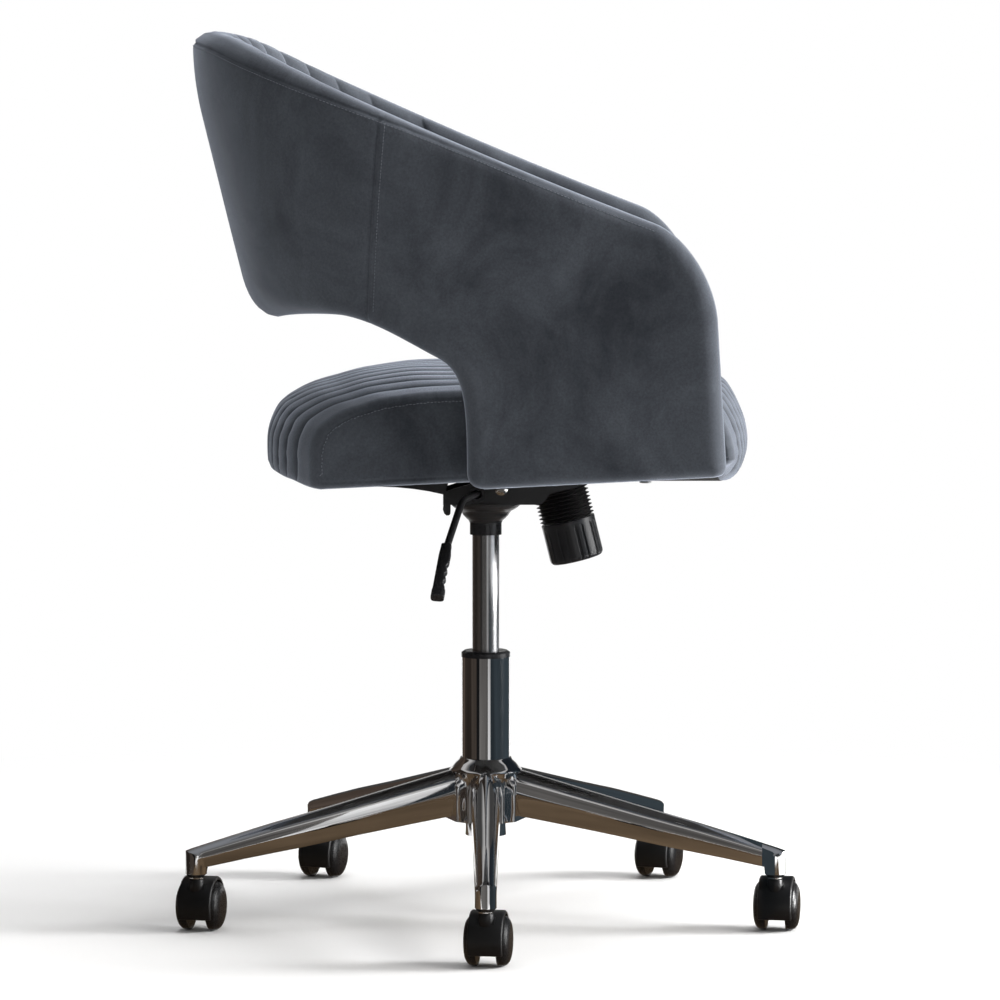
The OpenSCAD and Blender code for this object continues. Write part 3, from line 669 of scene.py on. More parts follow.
def stitches(name, points, normals, along, length=0.0024, thick=0.00035):
    """Small rounded stitches at the given points, lying along the seam."""
    ring = 5
    verts, faces = [], []
    for p, n, t in zip(points, normals, along):
        p, n, t = Vector(p), Vector(n).normalized(), Vector(t).normalized()
        b = n.cross(t).normalized()
        start = len(verts)
        for k, (off, r) in enumerate(((-0.5, 0.35), (-0.38, 0.85), (0.38, 0.85), (0.5, 0.35))):
            for j in range(ring):
                a = 2 * math.pi * j / ring
                verts.append(p + t * off * length + (b * math.cos(a) + n * math.sin(a)) * thick * r)
        for k in range(3):
            for j in range(ring):
                a0, a1 = start + k * ring + j, start + k * ring + (j + 1) % ring
                faces.append((a0, a1, a1 + ring, a0 + ring))
        faces.append([start + j for j in range(ring)][::-1])
        faces.append([start + 3 * ring + j for j in range(ring)])
    obj = mesh_obj(name, verts, faces)
    fix_normals(obj)
    return give(obj, MAT["thread"])


def shell_stitches(shell):
    lines = []
    rim = np.where(shell.rad[:, 2] > 0.5)[0]
    n = len(shell.edge)
    order = sorted(rim, key=lambda i: (i + n // 2) % n)
    depth = shell.rim_seam_depth(shell.edge[order, 0])
    line = shell.edge[order] + shell.inward[order] * (depth + 0.0032)[:, None]
    lines.append(line)
    for sgn in (-1, 1):
        z = np.arange(0.646, 0.834, 0.002)
        lines.append(np.stack([sgn * (shell.side_seam_q(z) + 0.0062), z], 1))
    pts, nrm, tan = [], [], []
    for line in lines:
        seg = np.hypot(*np.diff(line, axis=0).T)
        along = np.concatenate([[0], np.cumsum(seg)])
        t = np.arange(0.002, along[-1], 0.0034)
        p = np.stack([np.interp(t, along, line[:, 0]), np.interp(t, along, line[:, 1])], 1)
        e = 0.0006
        w = shell.surface(p, True)
        wq = shell.surface(p + [e, 0], True) - w
        wz = shell.surface(p + [0, e], True) - w
        nn = np.cross(wq, wz)
        flip = np.sign((nn * np.stack(plan_point(p[:, 0])[2:] + (np.zeros(len(p)),), 1)).sum(1))
        nn *= flip[:, None]
        d = np.gradient(w, axis=0)
        pts.extend(w)
        nrm.extend(nn)
        tan.extend(d)
    nrm = [Vector(a).normalized() for a in nrm]
    pts = [Vector(a) + b * 0.0002 for a, b in zip(pts, nrm)]
    return stitches("shell_topstitch", pts, nrm, tan)


tub, shell_shape = build_shell()
give(tub, MAT["velvet"])
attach(tub, "seat")
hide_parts("outer_back_panel", "outer_arm_left", "outer_arm_right",
            "inner_back_pad", "inner_arm_left", "inner_arm_right")
topstitch = shell_stitches(shell_shape)
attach(topstitch, "seat")

# ---------------------------------------------------------------- seat cushion


class Cushion:
    """The seat's upholstery: side profiles across the width, drawn as (ahead of the column, up) in millimetres."""

    outline = [(-225.0, 482), (-225.6, 494), (-224.5, 514), (-220.3, 526.4), (-213, 539), (-196, 551), (-182, 557.6),
               (-157, 565), (-132, 572), (-107, 576), (-82, 579), (-40, 580.4), (40, 580.4), (120, 579.0),
               (180, 576), (222, 571), (245.5, 563.8), (255, 551), (261, 539), (266, 526), (268.5, 514),
               (269.6, 501.5), (267.5, 489), (263, 478), (255, 471.5), (244, 470)]
    crease = [17 + 34 * k for k in range(6)]
    half = 238.0
    corner = 13.0

    def __init__(self):
        pts = np.array(self.outline, float)
        seg = np.hypot(*np.diff(pts, axis=0).T)
        t = np.concatenate([[0], np.cumsum(seg)])
        # a smooth path through the outline's points
        m = np.gradient(pts, t, axis=0)
        fine = []
        for i in range(len(pts) - 1):
            h = t[i + 1] - t[i]
            for u in np.linspace(0, 1, 12, endpoint=False):
                fine.append((2 * u ** 3 - 3 * u ** 2 + 1) * pts[i] + (u ** 3 - 2 * u ** 2 + u) * h * m[i]
                            + (-2 * u ** 3 + 3 * u ** 2) * pts[i + 1] + (u ** 3 - u ** 2) * h * m[i + 1])
        fine.append(pts[-1])
        fine = np.array(fine)
        seg = np.hypot(*np.diff(fine, axis=0).T)
        t = np.concatenate([[0], np.cumsum(seg)])
        n = int(t[-1] / 4.0)
        u = np.linspace(0, t[-1], n + 1)
        top = np.stack([np.interp(u, t, c) for c in fine.T], 1)
        corner = [(-222.5, 475), (-217, 471.5), (-210, 470)]
        bottom = np.stack([np.linspace(238, -205, 100), np.full(100, 470.0)], 1)
        self.loop = np.concatenate([top, bottom, corner[::-1]])
        self.wrap = np.clip((self.loop[:, 1] - 472) / 12, 0, 1)
        self.wrap[n + 1:] = 0

    def columns(self):
        offs = [0, 0.7, 1.5, 2.8, 4.8, 8.0, 12.0, 17.0]
        xs = set()
        for c in self.crease:
            for o in offs:
                xs.add(round(c + o, 3))
                xs.add(round(c - o, 3))
        xs = [x for x in xs if 0 <= x <= 204]
        xs += [209, 214, 219, 223]
        xs += [self.half - 2 - self.corner * (1 - math.sin(math.radians(a))) for a in range(0, 91, 9)]
        xs = sorted(set(round(x, 3) for x in xs))
        xs = [x for i, x in enumerate(xs) if i == 0 or x - xs[i - 1] > 0.5]
        return np.array([-x for x in xs[::-1] if x > 0] + xs)

    def at(self, x):
        """The closed profile at x, before any relief."""
        p = self.loop.copy()
        k = abs(x)
        rear = (225.6 - 38.6 * (k / 200) ** 2) / 225.6
        front = (269.6 - 25 * (k / 240) ** 2) / 269.6
        rise = (580.4 - 11.4 * (k / 200) ** 2 - 470) / 110.4
        p[:, 0] = np.where(p[:, 0] < 0, p[:, 0] * rear, p[:, 0] * front)
        p[:, 1] = 470 + (p[:, 1] - 470) * rise
        return p

    def normal(self, p):
        d = np.roll(p, -1, 0) - np.roll(p, 1, 0)
        n = np.stack([-d[:, 1], d[:, 0]], 1)
        return n / np.maximum(np.hypot(*n.T), 1e-9)[:, None]

    def relief(self, x):
        """Height of the padded channels over the creases between them."""
        edges = np.array([-c for c in self.crease[::-1]] + self.crease)
        k = abs(x)
        if k <= self.crease[-1]:
            i = np.searchsorted(edges, x, side="right") - 1
            i = min(max(i, 0), len(edges) - 2)
            t = (x - edges[i]) / (edges[i + 1] - edges[i]) * 2 - 1
            return -4.2 * (0.45 * abs(t) ** 2.2 + 0.55 * abs(t) ** 9)
        t = max(0, 1 - (k - self.crease[-1]) / 20)
        return -4.2 * (0.45 * t ** 2.2 + 0.55 * t ** 9)

    def column(self, x):
        p = self.at(x)
        n = self.normal(p)
        k = abs(x)
        turn = min(1, max(0, (k - (self.half - 2 - self.corner)) / self.corner))
        inset = self.corner * (1 - math.sqrt(max(0, 1 - turn ** 2.2)))
        soft = np.array([noise.noise((x * 0.013, a * 0.013, b * 0.013)) for a, b in p])
        lift = (self.relief(x) + 1.4 * soft) * self.wrap - inset * 0.62
        # small tucks beside the creases where the cover goes over the front and the rear
        bend = np.exp(-((p[:, 0] - 256) / 12) ** 2) + np.exp(-((p[:, 0] + 200) / 16) ** 2)
        side = abs(abs(self.relief(x)) - 2.4) < 2.2
        tuck = np.sin(p[:, 1] / 2.6 + x * 0.21) * 0.32 * bend * side
        j = np.arange(len(p))
        near = math.exp(-(max(0, self.half - 4 - k) / 9) ** 2) if k > 200 else 0
        pucker = 0.42 * near * np.sin(j * 1.9 + 2 * np.sin(j * 0.23)) * self.wrap
        p = p + n * (lift + tuck * self.wrap + pucker)[:, None]
        low = 1 - np.clip((p[:, 1] - 470) / 34, 0, 1)
        p[:, 1] = np.maximum(p[:, 1], 470.0) + (self.under(x, p[:, 0]) - 470) * low * low * (3 - 2 * low)
        return p

    @staticmethod
    def under(x, s):
        """Height of the seat's underside: flat in the middle, rising to the front along both sides."""
        w = np.clip((abs(x) - 150) / 82, 0, 1)
        return 470 + (w * w * (3 - 2 * w)) * (5.5 + 0.05 * np.asarray(s, float))


def build_cushion():
    shape = Cushion()
    xs = shape.columns()
    loops = [shape.column(x) for x in xs]
    n = len(loops[0])
    verts, faces = [], []
    for x, p in zip(xs, loops):
        verts += [(x * MM, -a * MM, b * MM) for a, b in p]
    for c in range(len(xs) - 1):
        for i in range(n):
            j = (i + 1) % n
            faces.append((c * n + i, c * n + j, (c + 1) * n + j, (c + 1) * n + i))
    # the sewn-in side panels
    for end in (0, len(xs) - 1):
        sign = -1 if end == 0 else 1
        ring = loops[end]
        cand = [ring + shape.normal(ring) * -d for d in (1.2, 2.6, 4.4, 7.0, 10.5)]
        cells = {}
        pts = [tuple(p) for p in ring]
        for p in pts:
            cells.setdefault((int(p[0] // 3), int(p[1] // 3)), []).append(p)
        grid = [(a + (2.2 if k % 2 else 0), b) for k, b in enumerate(np.arange(474, 580, 4.4))
                for a in np.arange(-230, 270, 4.4)]
        a, b = ring, np.roll(ring, -1, 0)
        ab = b - a
        ll = np.maximum((ab * ab).sum(1), 1e-9)

        def depth(q):
            t = np.clip(((q[None] - a) * ab).sum(1) / ll, 0, 1)
            d = np.hypot(*(q[None] - (a + ab * t[:, None])).T)
            i = d.argmin()
            hit = (a[:, 1] > q[1]) != (b[:, 1] > q[1])
            rise = np.where(b[:, 1] == a[:, 1], 1e-9, b[:, 1] - a[:, 1])
            xi = (b[:, 0] - a[:, 0]) * (q[1] - a[:, 1]) / rise + a[:, 0]
            return (d[i] if (hit & (q[0] < xi)).sum() % 2 else -1), i
        for group, gap in [(c, 1.0) for c in cand] + [(np.array(grid), 2.6)]:
            for q in group:
                d, _ = depth(np.array(q, float))
                if d < 0.9:
                    continue
                key = (int(q[0] // 3), int(q[1] // 3))
                near = [o for u in (-1, 0, 1) for v in (-1, 0, 1) for o in cells.get((key[0] + u, key[1] + v), ())]
                if all((o[0] - q[0]) ** 2 + (o[1] - q[1]) ** 2 > gap * gap for o in near):
                    cells.setdefault(key, []).append(tuple(q))
                    pts.append(tuple(q))
        out = delaunay_2d_cdt([Vector(p) for p in pts], [], [list(range(n))], 1, 1e-6)
        index = {}
        for i, v in enumerate(out[0]):
            o = out[3][i][0] if out[3][i] else -1
            if 0 <= o < n:
                index[i] = end * n + o
                continue
            d, j = depth(np.array(v[:]))
            puff = 2.0 * (1 - math.exp(-d / 5)) + 0.5 * noise.noise((v[0] * 0.02, v[1] * 0.03, 5.0))
            pucker = 0.45 * math.sin(j * 1.9 + 2 * math.sin(j * 0.23)) * math.exp(-d / 7) * min(1, d / 1.5)
            groove = -0.9 * math.exp(-((d - 1.2) / 1.1) ** 2)
            verts.append((sign * (abs(xs[end]) + puff + pucker + groove) * MM, -v[0] * MM, v[1] * MM))
            index[i] = len(verts) - 1
        faces += [[index[i] for i in f] for f in out[2]]
    obj = mesh_obj("seat_cushion_cover", verts, faces)
    fix_normals(obj)
    return obj, shape, xs, loops


def cushion_stitches(shape, xs, loops):
    pts, nrm, tan = [], [], []
    for end in (0, len(xs) - 1):
        sign = -1 if end == 0 else 1
        ring = loops[end][:150]
        ring = ring[ring[:, 1] > 474]
        line = ring - shape.normal(ring) * 3.4
        seg = np.hypot(*np.diff(line, axis=0).T)
        along = np.concatenate([[0], np.cumsum(seg)])
        t = np.arange(2, along[-1], 3.6)
        p = np.stack([np.interp(t, along, line[:, 0]), np.interp(t, along, line[:, 1])], 1)
        d = np.gradient(p, axis=0)
        for (a, b), (u, v) in zip(p, d):
            pts.append(Vector((sign * (abs(xs[end]) + 1.25) * MM, -a * MM, b * MM)))
            nrm.append(Vector((sign, 0, 0)))
            tan.append(Vector((0, -u, v)))
    return stitches("seat_topstitch", pts, nrm, tan, 0.0023, 0.00042)


def build_seat_board(shape):
    """Plywood under the cushion, its lower side thinned towards the edges, and the black lining on it."""
    made = []
    for name, gap, low, high in (("seat_plywood", 34, 0.8, 11.5), ("seat_lining", 28, -0.2, 0.5)):
        xs = np.linspace(-(238 - gap), 238 - gap, 45)
        verts, faces, rows = [], [], 41
        for top in (False, True):
            for x in xs:
                corner = 14 * max(0, (abs(x) - (238 - gap - 14)) / 14) ** 2
                rear = -(225.6 - 38.6 * (x / 200) ** 2) + gap - 6 + corner
                front = 269.6 - 25 * (x / 240) ** 2 - gap + 6 - corner
                for a in np.linspace(rear, front, rows):
                    z = float(shape.under(x, a))
                    if name == "seat_plywood":
                        z = max(z + high, 482) if top else z + low
                    else:
                        z += high if top else low
                    verts.append((x * MM, -a * MM, z * MM))
        n = len(xs) * rows
        for c in range(len(xs) - 1):
            for r in range(rows - 1):
                q = [c * rows + r, c * rows + r + 1, (c + 1) * rows + r + 1, (c + 1) * rows + r]
                faces.append(q)
                faces.append([i + n for i in q[::-1]])
        rim = [r for r in range(rows)] + [c * rows + rows - 1 for c in range(1, len(xs))]
        rim += [(len(xs) - 1) * rows + r for r in range(rows - 2, -1, -1)]
        rim += [c * rows for c in range(len(xs) - 2, 0, -1)]
        for i, a in enumerate(rim):
            b = rim[(i + 1) % len(rim)]
            faces.append((a, b, b + n, a + n))
        obj = mesh_obj(name, verts, faces, smooth=False)
        fix_normals(obj)
        made.append(obj)
    return made


cushion, cushion_shape, cushion_xs, cushion_loops = build_cushion()
give(cushion, MAT["velvet"])
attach(cushion, "seat")
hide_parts("seat_cushion")
seat_stitches = cushion_stitches(cushion_shape, cushion_xs, cushion_loops)
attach(seat_stitches, "seat")

seat_plywood, seat_lining = build_seat_board(cushion_shape)
give(seat_plywood, MAT["plywood"])
give(seat_lining, MAT["lining"])
for piece, node, finish in ((seat_plywood, "seat_board", "plywood"), (seat_lining, "dust_cover", "lining")):
    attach(piece, "seat")
    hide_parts(node)

# ---------------------------------------------------------------- five-star base

BASE_R, SOCKET_R = 312.0, 10.8
GABLE = [(0.97, 0.42), (1.0, 0.49), (0.985, 0.56), (0.93, 0.65), (0.83, 0.745), (0.69, 0.83), (0.52, 0.90),
         (0.34, 0.955), (0.17, 0.989), (0.06, 0.999)]


def crisp(obj, degrees=32):
    """Smooth shading that keeps the edges sharper than this angle."""
    obj.data.set_sharp_from_angle(angle=math.radians(degrees))
    return obj


def tube(name, rings, degrees=32):
    """Closed body through rings of equal length, with its two ends capped."""
    n = len(rings[0])
    verts = [p for ring in rings for p in ring]
    faces = [[k * n + i, k * n + (i + 1) % n, (k + 1) * n + (i + 1) % n, (k + 1) * n + i]
             for k in range(len(rings) - 1) for i in range(n)]
    faces += [list(range(n))[::-1], [(len(rings) - 1) * n + i for i in range(n)]]
    obj = mesh_obj(name, verts, faces)
    fix_normals(obj)
    return crisp(obj, degrees)


def lathe(name, profile, closed, sides=128, place=None, degrees=32, shape=None):
    """Turned body from (radius, height) points; closed joins the last to the first, otherwise the ends are capped."""
    verts, faces = [], []
    for k, (r, z) in enumerate(profile):
        for j in range(sides):
            a = 2 * math.pi * j / sides
            rr = shape(r, z, a, k) if shape else r
            verts.append((rr * math.cos(a) * MM, rr * math.sin(a) * MM, z * MM))
    rows = len(profile)
    for k in range(rows if closed else rows - 1):
        m = (k + 1) % rows
        for j in range(sides):
            faces.append((k * sides + j, k * sides + (j + 1) % sides, m * sides + (j + 1) % sides, m * sides + j))
    if not closed:
        faces += [list(range(sides))[::-1], [(rows - 1) * sides + j for j in range(sides)]]
    if place:
        verts = [place @ Vector(v) for v in verts]
    obj = mesh_obj(name, verts, faces)
    fix_normals(obj)
    return crisp(obj, degrees)


def arm_ring(r):
    """Section of an arm at distance r: a gable over tapering sides, and the caster socket under its tip."""
    top = np.interp(r, [34, 39, 169, 235, 281, 316, 323], [158.0, 157, 124.6, 109, 97, 87.6, 85.3])
    low = np.interp(r, [34, 71, 111, 146, 203, 258, 300, 323], [110, 104.5, 98.5, 93, 83.5, 75.4, 68.5, 66])
    w = np.interp(r, [34, 312], [16.2, 10.85])
    d = abs(r - BASE_R)
    chord = math.sqrt(max(0, SOCKET_R ** 2 - d * d))
    clip = chord if r > BASE_R else 99
    if d < SOCKET_R:
        inner = math.sqrt(max(0, 7.6 ** 2 - d * d))
        foot = 57.5 + max(0, d - 7.6) * 3.5 / 3.2
        half = [(0.0, foot), (max(inner, 0.02), foot), (max(chord, 0.04), max(61, foot + 0.1)), (max(chord, 0.05), low)]
    else:
        half = [(0, low), (0.12 * w, low), (0.24 * w, low), (0.36 * w, low)]
    for a, b in ((0.50, 0.0), (0.62, 0.012), (0.72, 0.06), (0.82, 0.18)):
        half.append((max(chord if d < SOCKET_R else 0, a * w), low + b * (top - low)))
    half += [(max(a * w, chord if d < SOCKET_R and a > 0.9 else 0), low + b * (top - low)) for a, b in GABLE]
    half = [(min(y, clip), z) for y, z in half]
    half.append((0.0, top))
    ring = [(r, y, z) for y, z in half] + [(r, -y, z) for y, z in half[-2:0:-1]]
    return ring


def build_arm(i):
    rs = [33.0, 36.5, 41] + list(np.linspace(48, 300.8, 30))
    rs += [BASE_R - SOCKET_R * math.cos(math.radians(a)) for a in (2, 8, 16, 25, 35, 46, 58, 72, 86)]
    rs += [BASE_R + SOCKET_R * math.sin(math.radians(a)) for a in (4, 14, 24, 34, 44, 53, 62, 70, 77, 83, 88)]
    turn = Matrix.Rotation(math.pi + (i - 1) * 2 * math.pi / 5, 4, "Z")
    rings = [[turn @ (Vector(p) * MM) for p in arm_ring(r)] for r in rs]
    return tube("base_arm_%d_body" % i, rings, 28)


def hub_shape(r, z, a, k):
    """The hub widens into a pad towards each arm, with hollows between."""
    step = 2 * math.pi / 5
    d = (a - math.pi + step / 2) % step - step / 2
    if k < 2 or r < 27.4:
        return r
    across = abs(38.2 * math.tan(d))
    pad = 38.2 / math.cos(d)
    half = 17.5 if z < 137 else 17.5 - 12.0 * ((z - 137) / 15) ** 1.6
    t = np.clip((across - half) / 9.0, 0, 1)
    t = t * t * (3 - 2 * t)
    if z > 152:
        return r - (1.6 if z < 160 else 0.4) * t
    return pad * (1 - t) + r * t


hub_profile = [(21.35, 103), (35.0, 103), (35.6, 104.2), (35.4, 106.5)]
hub_profile += [(31.3, 110), (31, 116), (31, 124), (31, 132), (31, 138), (31.1, 142), (31.6, 145.5), (32.8, 148.5),
                (34.8, 151), (37.6, 153.4), (39.4, 155.2), (39.2, 156.4), (36.6, 158.8), (32, 163), (28.2, 166.6),
                (27.4, 168.2), (26.4, 168.8), (25.08, 168.8), (25.08, 117.9), (21.35, 117.9)]
hub = lathe("base_hub_body", hub_profile, True, 360, degrees=38, shape=hub_shape)
give(hub, MAT["chrome"])
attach(hub, "base")
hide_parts("base_hub")
for i in range(1, 6):
    arm = build_arm(i)
    give(arm, MAT["chrome"])
    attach(arm, "base")
    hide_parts("base_arm_%d" % i)

# ---------------------------------------------------------------- tension knob, bellows, lever

LEAN_SCREW = math.radians(-13.9)


def on_screw(drop):
    """Frame whose -Z runs down the tension screw from the mechanism's tab."""
    return (Matrix.Translation((0, -0.077, 0.449)) @ Matrix.Rotation(LEAN_SCREW, 4, "X")
            @ Matrix.Translation((0, 0, -drop * MM)))


def knob_shape(r, z, a, k):
    """Pairs of narrow slots round the knob's side, open at the lower end."""
    if r < 24 or z > 37.5:
        return r
    step = math.radians(40)
    best = 9.0
    for centre in (-7.2, 7.2):
        d = (a - math.radians(centre) + step / 2) % step - step / 2
        best = min(best, abs(d) * 28)
    t = min(1, max(0, (best - 0.9) / 0.7))
    depth = 1.5 * min(1, max(0, (37.0 - z) / 1.2)) * min(1, z / 2.5 + 0.25)
    return r - depth * (1 - t * t * (3 - 2 * t))


profile = [(4.1, 12.0), (4.1, 43.0), (24.0, 43.0), (27.2, 43.0), (28.1, 42.2), (28.2, 40.6), (28.0, 39.4)]
profile += [(28.0, z) for z in (38, 37.2, 36.4, 35.4, 33, 28, 22, 16, 10, 7, 5.2)]
profile += [(28.0 - 4.4 * (1 - math.cos(math.radians(a))), 5.0 - 5.0 * math.sin(math.radians(a)))
            for a in (12, 26, 42, 58, 74, 90)]
profile += [(20, -0.3), (12, -0.6)]
knob = lathe("tension_knob_body", profile, False, 360, on_screw(76.0), 40, knob_shape)
give(knob, MAT["black_plastic"])
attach(knob, "knob")
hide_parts("tension_knob")

folds, length = 8, 32.9
fold = (length - 0.8) / folds
outer, inner = [(25.2, 0.4)], []
for i in range(folds):
    z = 0.4 + fold * i
    outer += [(26.4, z + fold * 0.27), (28.2, z + fold * 0.42), (28.6, z + fold * 0.5), (28.2, z + fold * 0.58),
              (26.4, z + fold * 0.73), (25.0, z + fold)]
    inner += [(23.6, z + fold * 0.06), (25.6, z + fold * 0.5)]
inner.append((23.6, 0.4 + fold * folds))
bellows = lathe("spring_bellows_body", outer + inner[::-1], True, 128, on_screw(32.8), 60)
give(bellows, MAT["black_rubber"])
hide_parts("spring_bellows")
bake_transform(bellows)


def build_grip():
    """Moulded paddle on the lever, with three finger waves on its front edge and a squared end."""
    a, b = Vector((-156.8, 40.5, 399.6)), Vector((-215, 49, 357.5))
    axis = (b - a).normalized()
    side = Vector((0, -1, 0))
    side = (side - axis * side.dot(axis)).normalized()
    thick = axis.cross(side)
    span = (b - a).length
    rings = []
    for t in list(np.linspace(-7.2, -6.2, 3)) + list(np.linspace(-5.5, span - 1.2, 64)) + [span - 0.5, span]:
        grow = np.clip((t + 2) / 9, 0, 1)
        front = 5.4 + 1.0 * grow
        wave = 0.0
        for c in (26.5, 38.5, 50.5):
            wave += 2.5 * math.exp(-((t - c) / 3.9) ** 2)
        front -= wave
        back = 5.4 + 0.6 * grow
        h = 4.6 - 0.5 * grow
        if t > span - 13:
            k = min(1, (t - span + 13) / 2.0)
            front, back, h = front + 0.9 * k, back + 0.4 * k, h + 0.7 * k
        end = min(1, max(0, (t + 7.4) / 1.3)) if t < -6 else min(1, max(0, (span + 0.25 - t) / 1.3))
        shrink = 1.2 * (1 - math.sqrt(1 - (1 - end) ** 2))
        front, back, h = front - shrink, back - shrink, h - shrink
        ring = []
        for j in range(40):
            u = 2 * math.pi * j / 40
            cx, cy = math.cos(u), math.sin(u)
            p = 3.6
            x = abs(cx) ** (2 / p) * (1 if cx > 0 else -1) * (front if cx > 0 else back)
            y = abs(cy) ** (2 / p) * (1 if cy > 0 else -1) * h
            ring.append((a + axis * t + side * x + thick * y) * MM)
        rings.append(ring)
    return tube("lever_grip_body", rings, 50)


grip = build_grip()
give(grip, MAT["black_plastic"])
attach(grip, "lever")
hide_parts("lever_grip")


def build_spring():
    """Round-wire coil spring inside the bellows, its ends drawn in flat."""
    turns, wire, coil = 4.6, 2.4, 17.0
    place = on_screw(31.2)
    steps = int(turns * 40)
    rings = []
    for i in range(steps + 1):
        a = 2 * math.pi * i / 40
        t = i / steps
        z = wire + (31.0 - 2 * wire - 1.6) * np.clip((t * turns - 0.6) / (turns - 1.2), 0, 1)
        out = Vector((math.cos(a), math.sin(a), 0))
        rings.append([place @ ((out * (coil + wire * math.cos(b)) + Vector((0, 0, z + wire * math.sin(b)))) * MM)
                      for b in (2 * math.pi * j / 14 for j in range(14))])
    return tube("tilt_spring_coil", rings, 60)


spring = build_spring()
give(spring, MAT["steel"])
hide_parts("tilt_spring")
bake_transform(spring)


def build_screws():
    """Pan-head screws that hold the plate and the arm brackets; the brackets' are let into the board."""
    verts, faces = [], []
    spots = SCREWS + [(s * 185.0, y, 4.0) for s in (-1, 1) for y in (-20.0, -160.0)]
    for x, y, sunk in spots:
        head = 466.7 if not sunk else 470.6
        profile = [(0.01, -3.0), (2.6, -3.0), (4.6, -2.4), (5.7, -1.2), (6.0, 0.0), (3.0, 0.0), (3.0, 12.5),
                   (0.01, 12.5)]
        if sunk:
            profile = [(0.01, -0.1), (5.2, 0.0), (6.0, 0.5), (6.0, 1.4), (3.0, 3.4), (3.0, 11.8), (0.01, 11.8)]
        start = len(verts)
        for r, z in profile:
            for j in range(24):
                a = 2 * math.pi * j / 24
                verts.append(((x + r * math.cos(a)) * MM, (y + r * math.sin(a)) * MM, (head + z) * MM))
        for k in range(len(profile) - 1):
            for j in range(24):
                q = start + k * 24 + j, start + k * 24 + (j + 1) % 24
                faces.append((q[0], q[1], q[1] + 24, q[0] + 24))
        faces.append([start + j for j in range(24)][::-1])
        faces.append([start + (len(profile) - 1) * 24 + j for j in range(24)])
    obj = mesh_obj("seat_screw_set", verts, faces)
    fix_normals(obj)
    return crisp(obj, 40)


SCREWS = [(-60.0, 140.0, 0.0), (60.0, 140.0, 0.0), (-60.0, -92.0, 0.0), (60.0, -92.0, 0.0)]
screws = build_screws()
give(screws, MAT["steel"])
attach(screws, "seat")
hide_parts("seat_screws")


def smooth_path(points, bend, steps=10):
    """The path through the points with its corners rounded."""
    pts = [Vector(p) for p in points]
    out = [pts[0]]
    for a, b, c in zip(pts, pts[1:], pts[2:]):
        u, v = (a - b).normalized(), (c - b).normalized()
        for k in range(steps + 1):
            t = k / steps
            out.append(b + u * bend * (1 - t) ** 2 + v * bend * t * t)
    return out + [pts[-1]]


def build_rod():
    """The lever's round rod, with smooth bends."""
    path = smooth_path(LEVER, 11)
    side = Vector((0, -1, 0))
    rings = []
    for i, p in enumerate(path):
        d = (path[min(i + 1, len(path) - 1)] - path[max(i - 1, 0)]).normalized()
        u = (side - d * side.dot(d)).normalized()
        v = d.cross(u)
        r = 3.2 if i == 0 or abs(p.x) < 44 else 3.7
        rings.append([(p + (u * math.cos(2 * math.pi * j / 20) + v * math.sin(2 * math.pi * j / 20)) * r) * MM
                      for j in range(20)])
    return tube("lever_rod_body", rings, 50)


LEVER = [(0, 0, 446), (-32.5, 9, 446), (-80, 24, 444), (-156.8, 40.5, 399.6)]
rod = build_rod()
give(rod, MAT["black_paint"])
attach(rod, "lever")
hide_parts("lever_rod")

# ---------------------------------------------------------------- caster housings

TURN = (-8, -9, -19, -19, -13)
TRAIL, AXLE_Z = 18.0, 25.5


def merged(name, pieces):
    """One object from several, which are removed."""
    bm = bmesh.new()
    for piece in pieces:
        bm.from_mesh(piece.data)
        bpy.data.objects.remove(piece)
    mesh = bpy.data.meshes.new(name)
    bm.to_mesh(mesh)
    bm.free()
    obj = bpy.data.objects.new(name, mesh)
    bpy.context.scene.collection.objects.link(obj)
    return obj


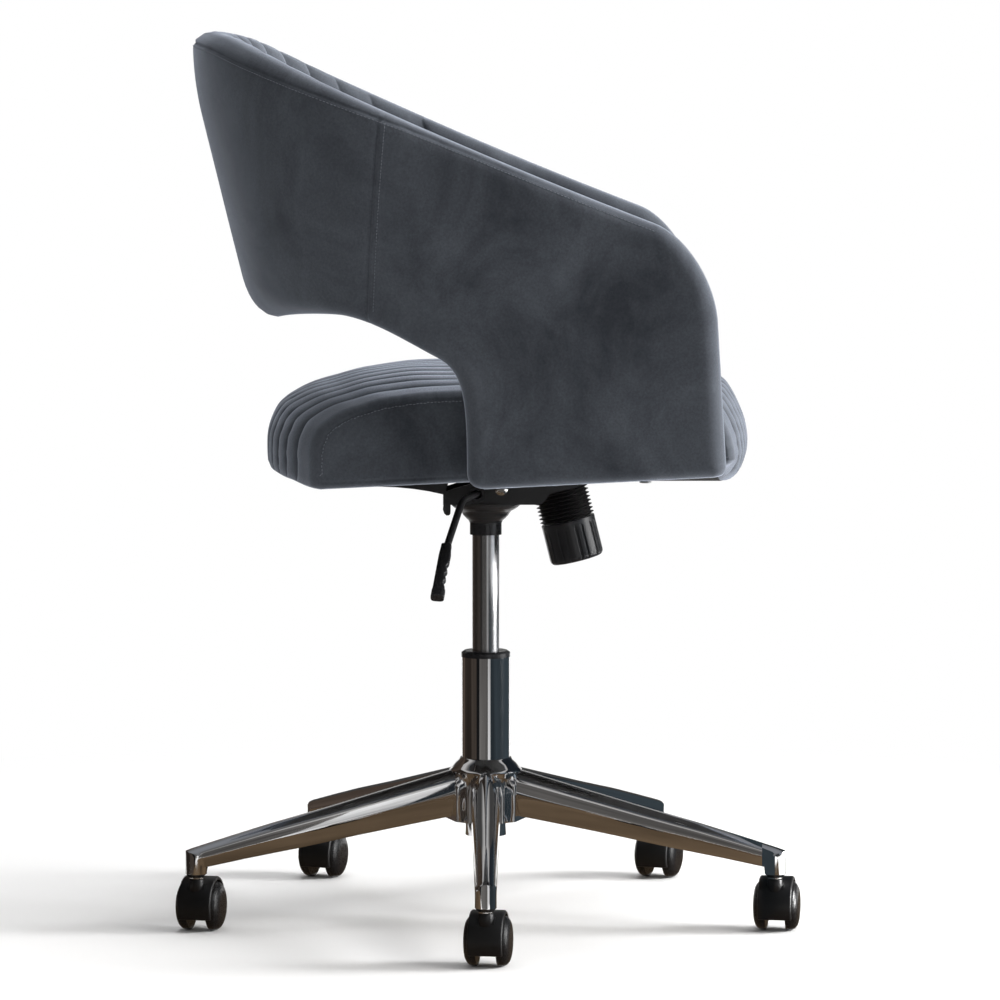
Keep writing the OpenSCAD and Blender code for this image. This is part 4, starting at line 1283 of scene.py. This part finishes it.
def hood_rings():
    """Sections of the hood over the wheels: flat across, rounded at its sides, running down on the stem's side."""
    first, last, wide = -61.5, 114, 17.5
    rings = []
    for a in np.linspace(first, last, 56):
        end = min(1, 0.45 + min(a - first, last - a) / 5)
        outer = 26.9 + 3.6 * end
        t = math.radians(a)
        half = [(wide, 26.9), (wide, outer - 1.9), (wide - 0.25, outer - 1.1), (wide - 0.9, outer - 0.4),
                (wide - 1.9, outer)]
        section = [(y, r) for y, r in half] + [(0, outer)] + [(-y, r) for y, r in half[::-1]] + [(0, 26.9)]
        rings.append([Vector((TRAIL - r * math.sin(t), y, AXLE_Z + r * math.cos(t))) * MM for y, r in section])
    return rings


def web_rings():
    """Sections across the web that holds the axle between the wheels."""
    outline = [(-6, 12), (TRAIL - 11, -4), (TRAIL + 11, -2), (TRAIL + 20, 16), (TRAIL + 9, 26.2), (0, 26.2), (-6, 20)]
    pts = []
    for i, (x, z) in enumerate(outline):
        (ax, az), (cx, cz) = outline[i - 1], outline[(i + 1) % len(outline)]
        u, v = Vector((ax - x, az - z)).normalized(), Vector((cx - x, cz - z)).normalized()
        for k in range(6):
            t = k / 5
            q = Vector((x, z)) + u * 3.5 * (1 - t) ** 2 + v * 3.5 * t * t
            pts.append(q)
    return [[Vector((x, y, z + AXLE_Z)) * MM for x, z in pts] for y in (-9.4, -8.8, 8.8, 9.4)]


def build_housing(i):
    boss = lathe("boss", [(5.3, 43), (7.2, 43), (8, 44.5), (8, 54.6), (7.4, 55.6), (6.6, 56), (5.3, 56)], True, 40)
    obj = merged("caster_%d_housing" % i, [tube("hood", hood_rings(), 34), tube("web", web_rings(), 34), boss])
    stem = math.pi + (i - 1) * 2 * math.pi / 5
    obj.data.transform(Matrix.Translation((BASE_R * MM * math.cos(stem), BASE_R * MM * math.sin(stem), 0))
                       @ Matrix.Rotation(math.radians(TURN[i - 1]), 4, "Z"))
    return obj


for i in range(1, 6):
    housing = build_housing(i)
    give(housing, MAT["caster_plastic"])
    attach(housing, "caster_%d" % i)
    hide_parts("caster_housing_%d" % i)
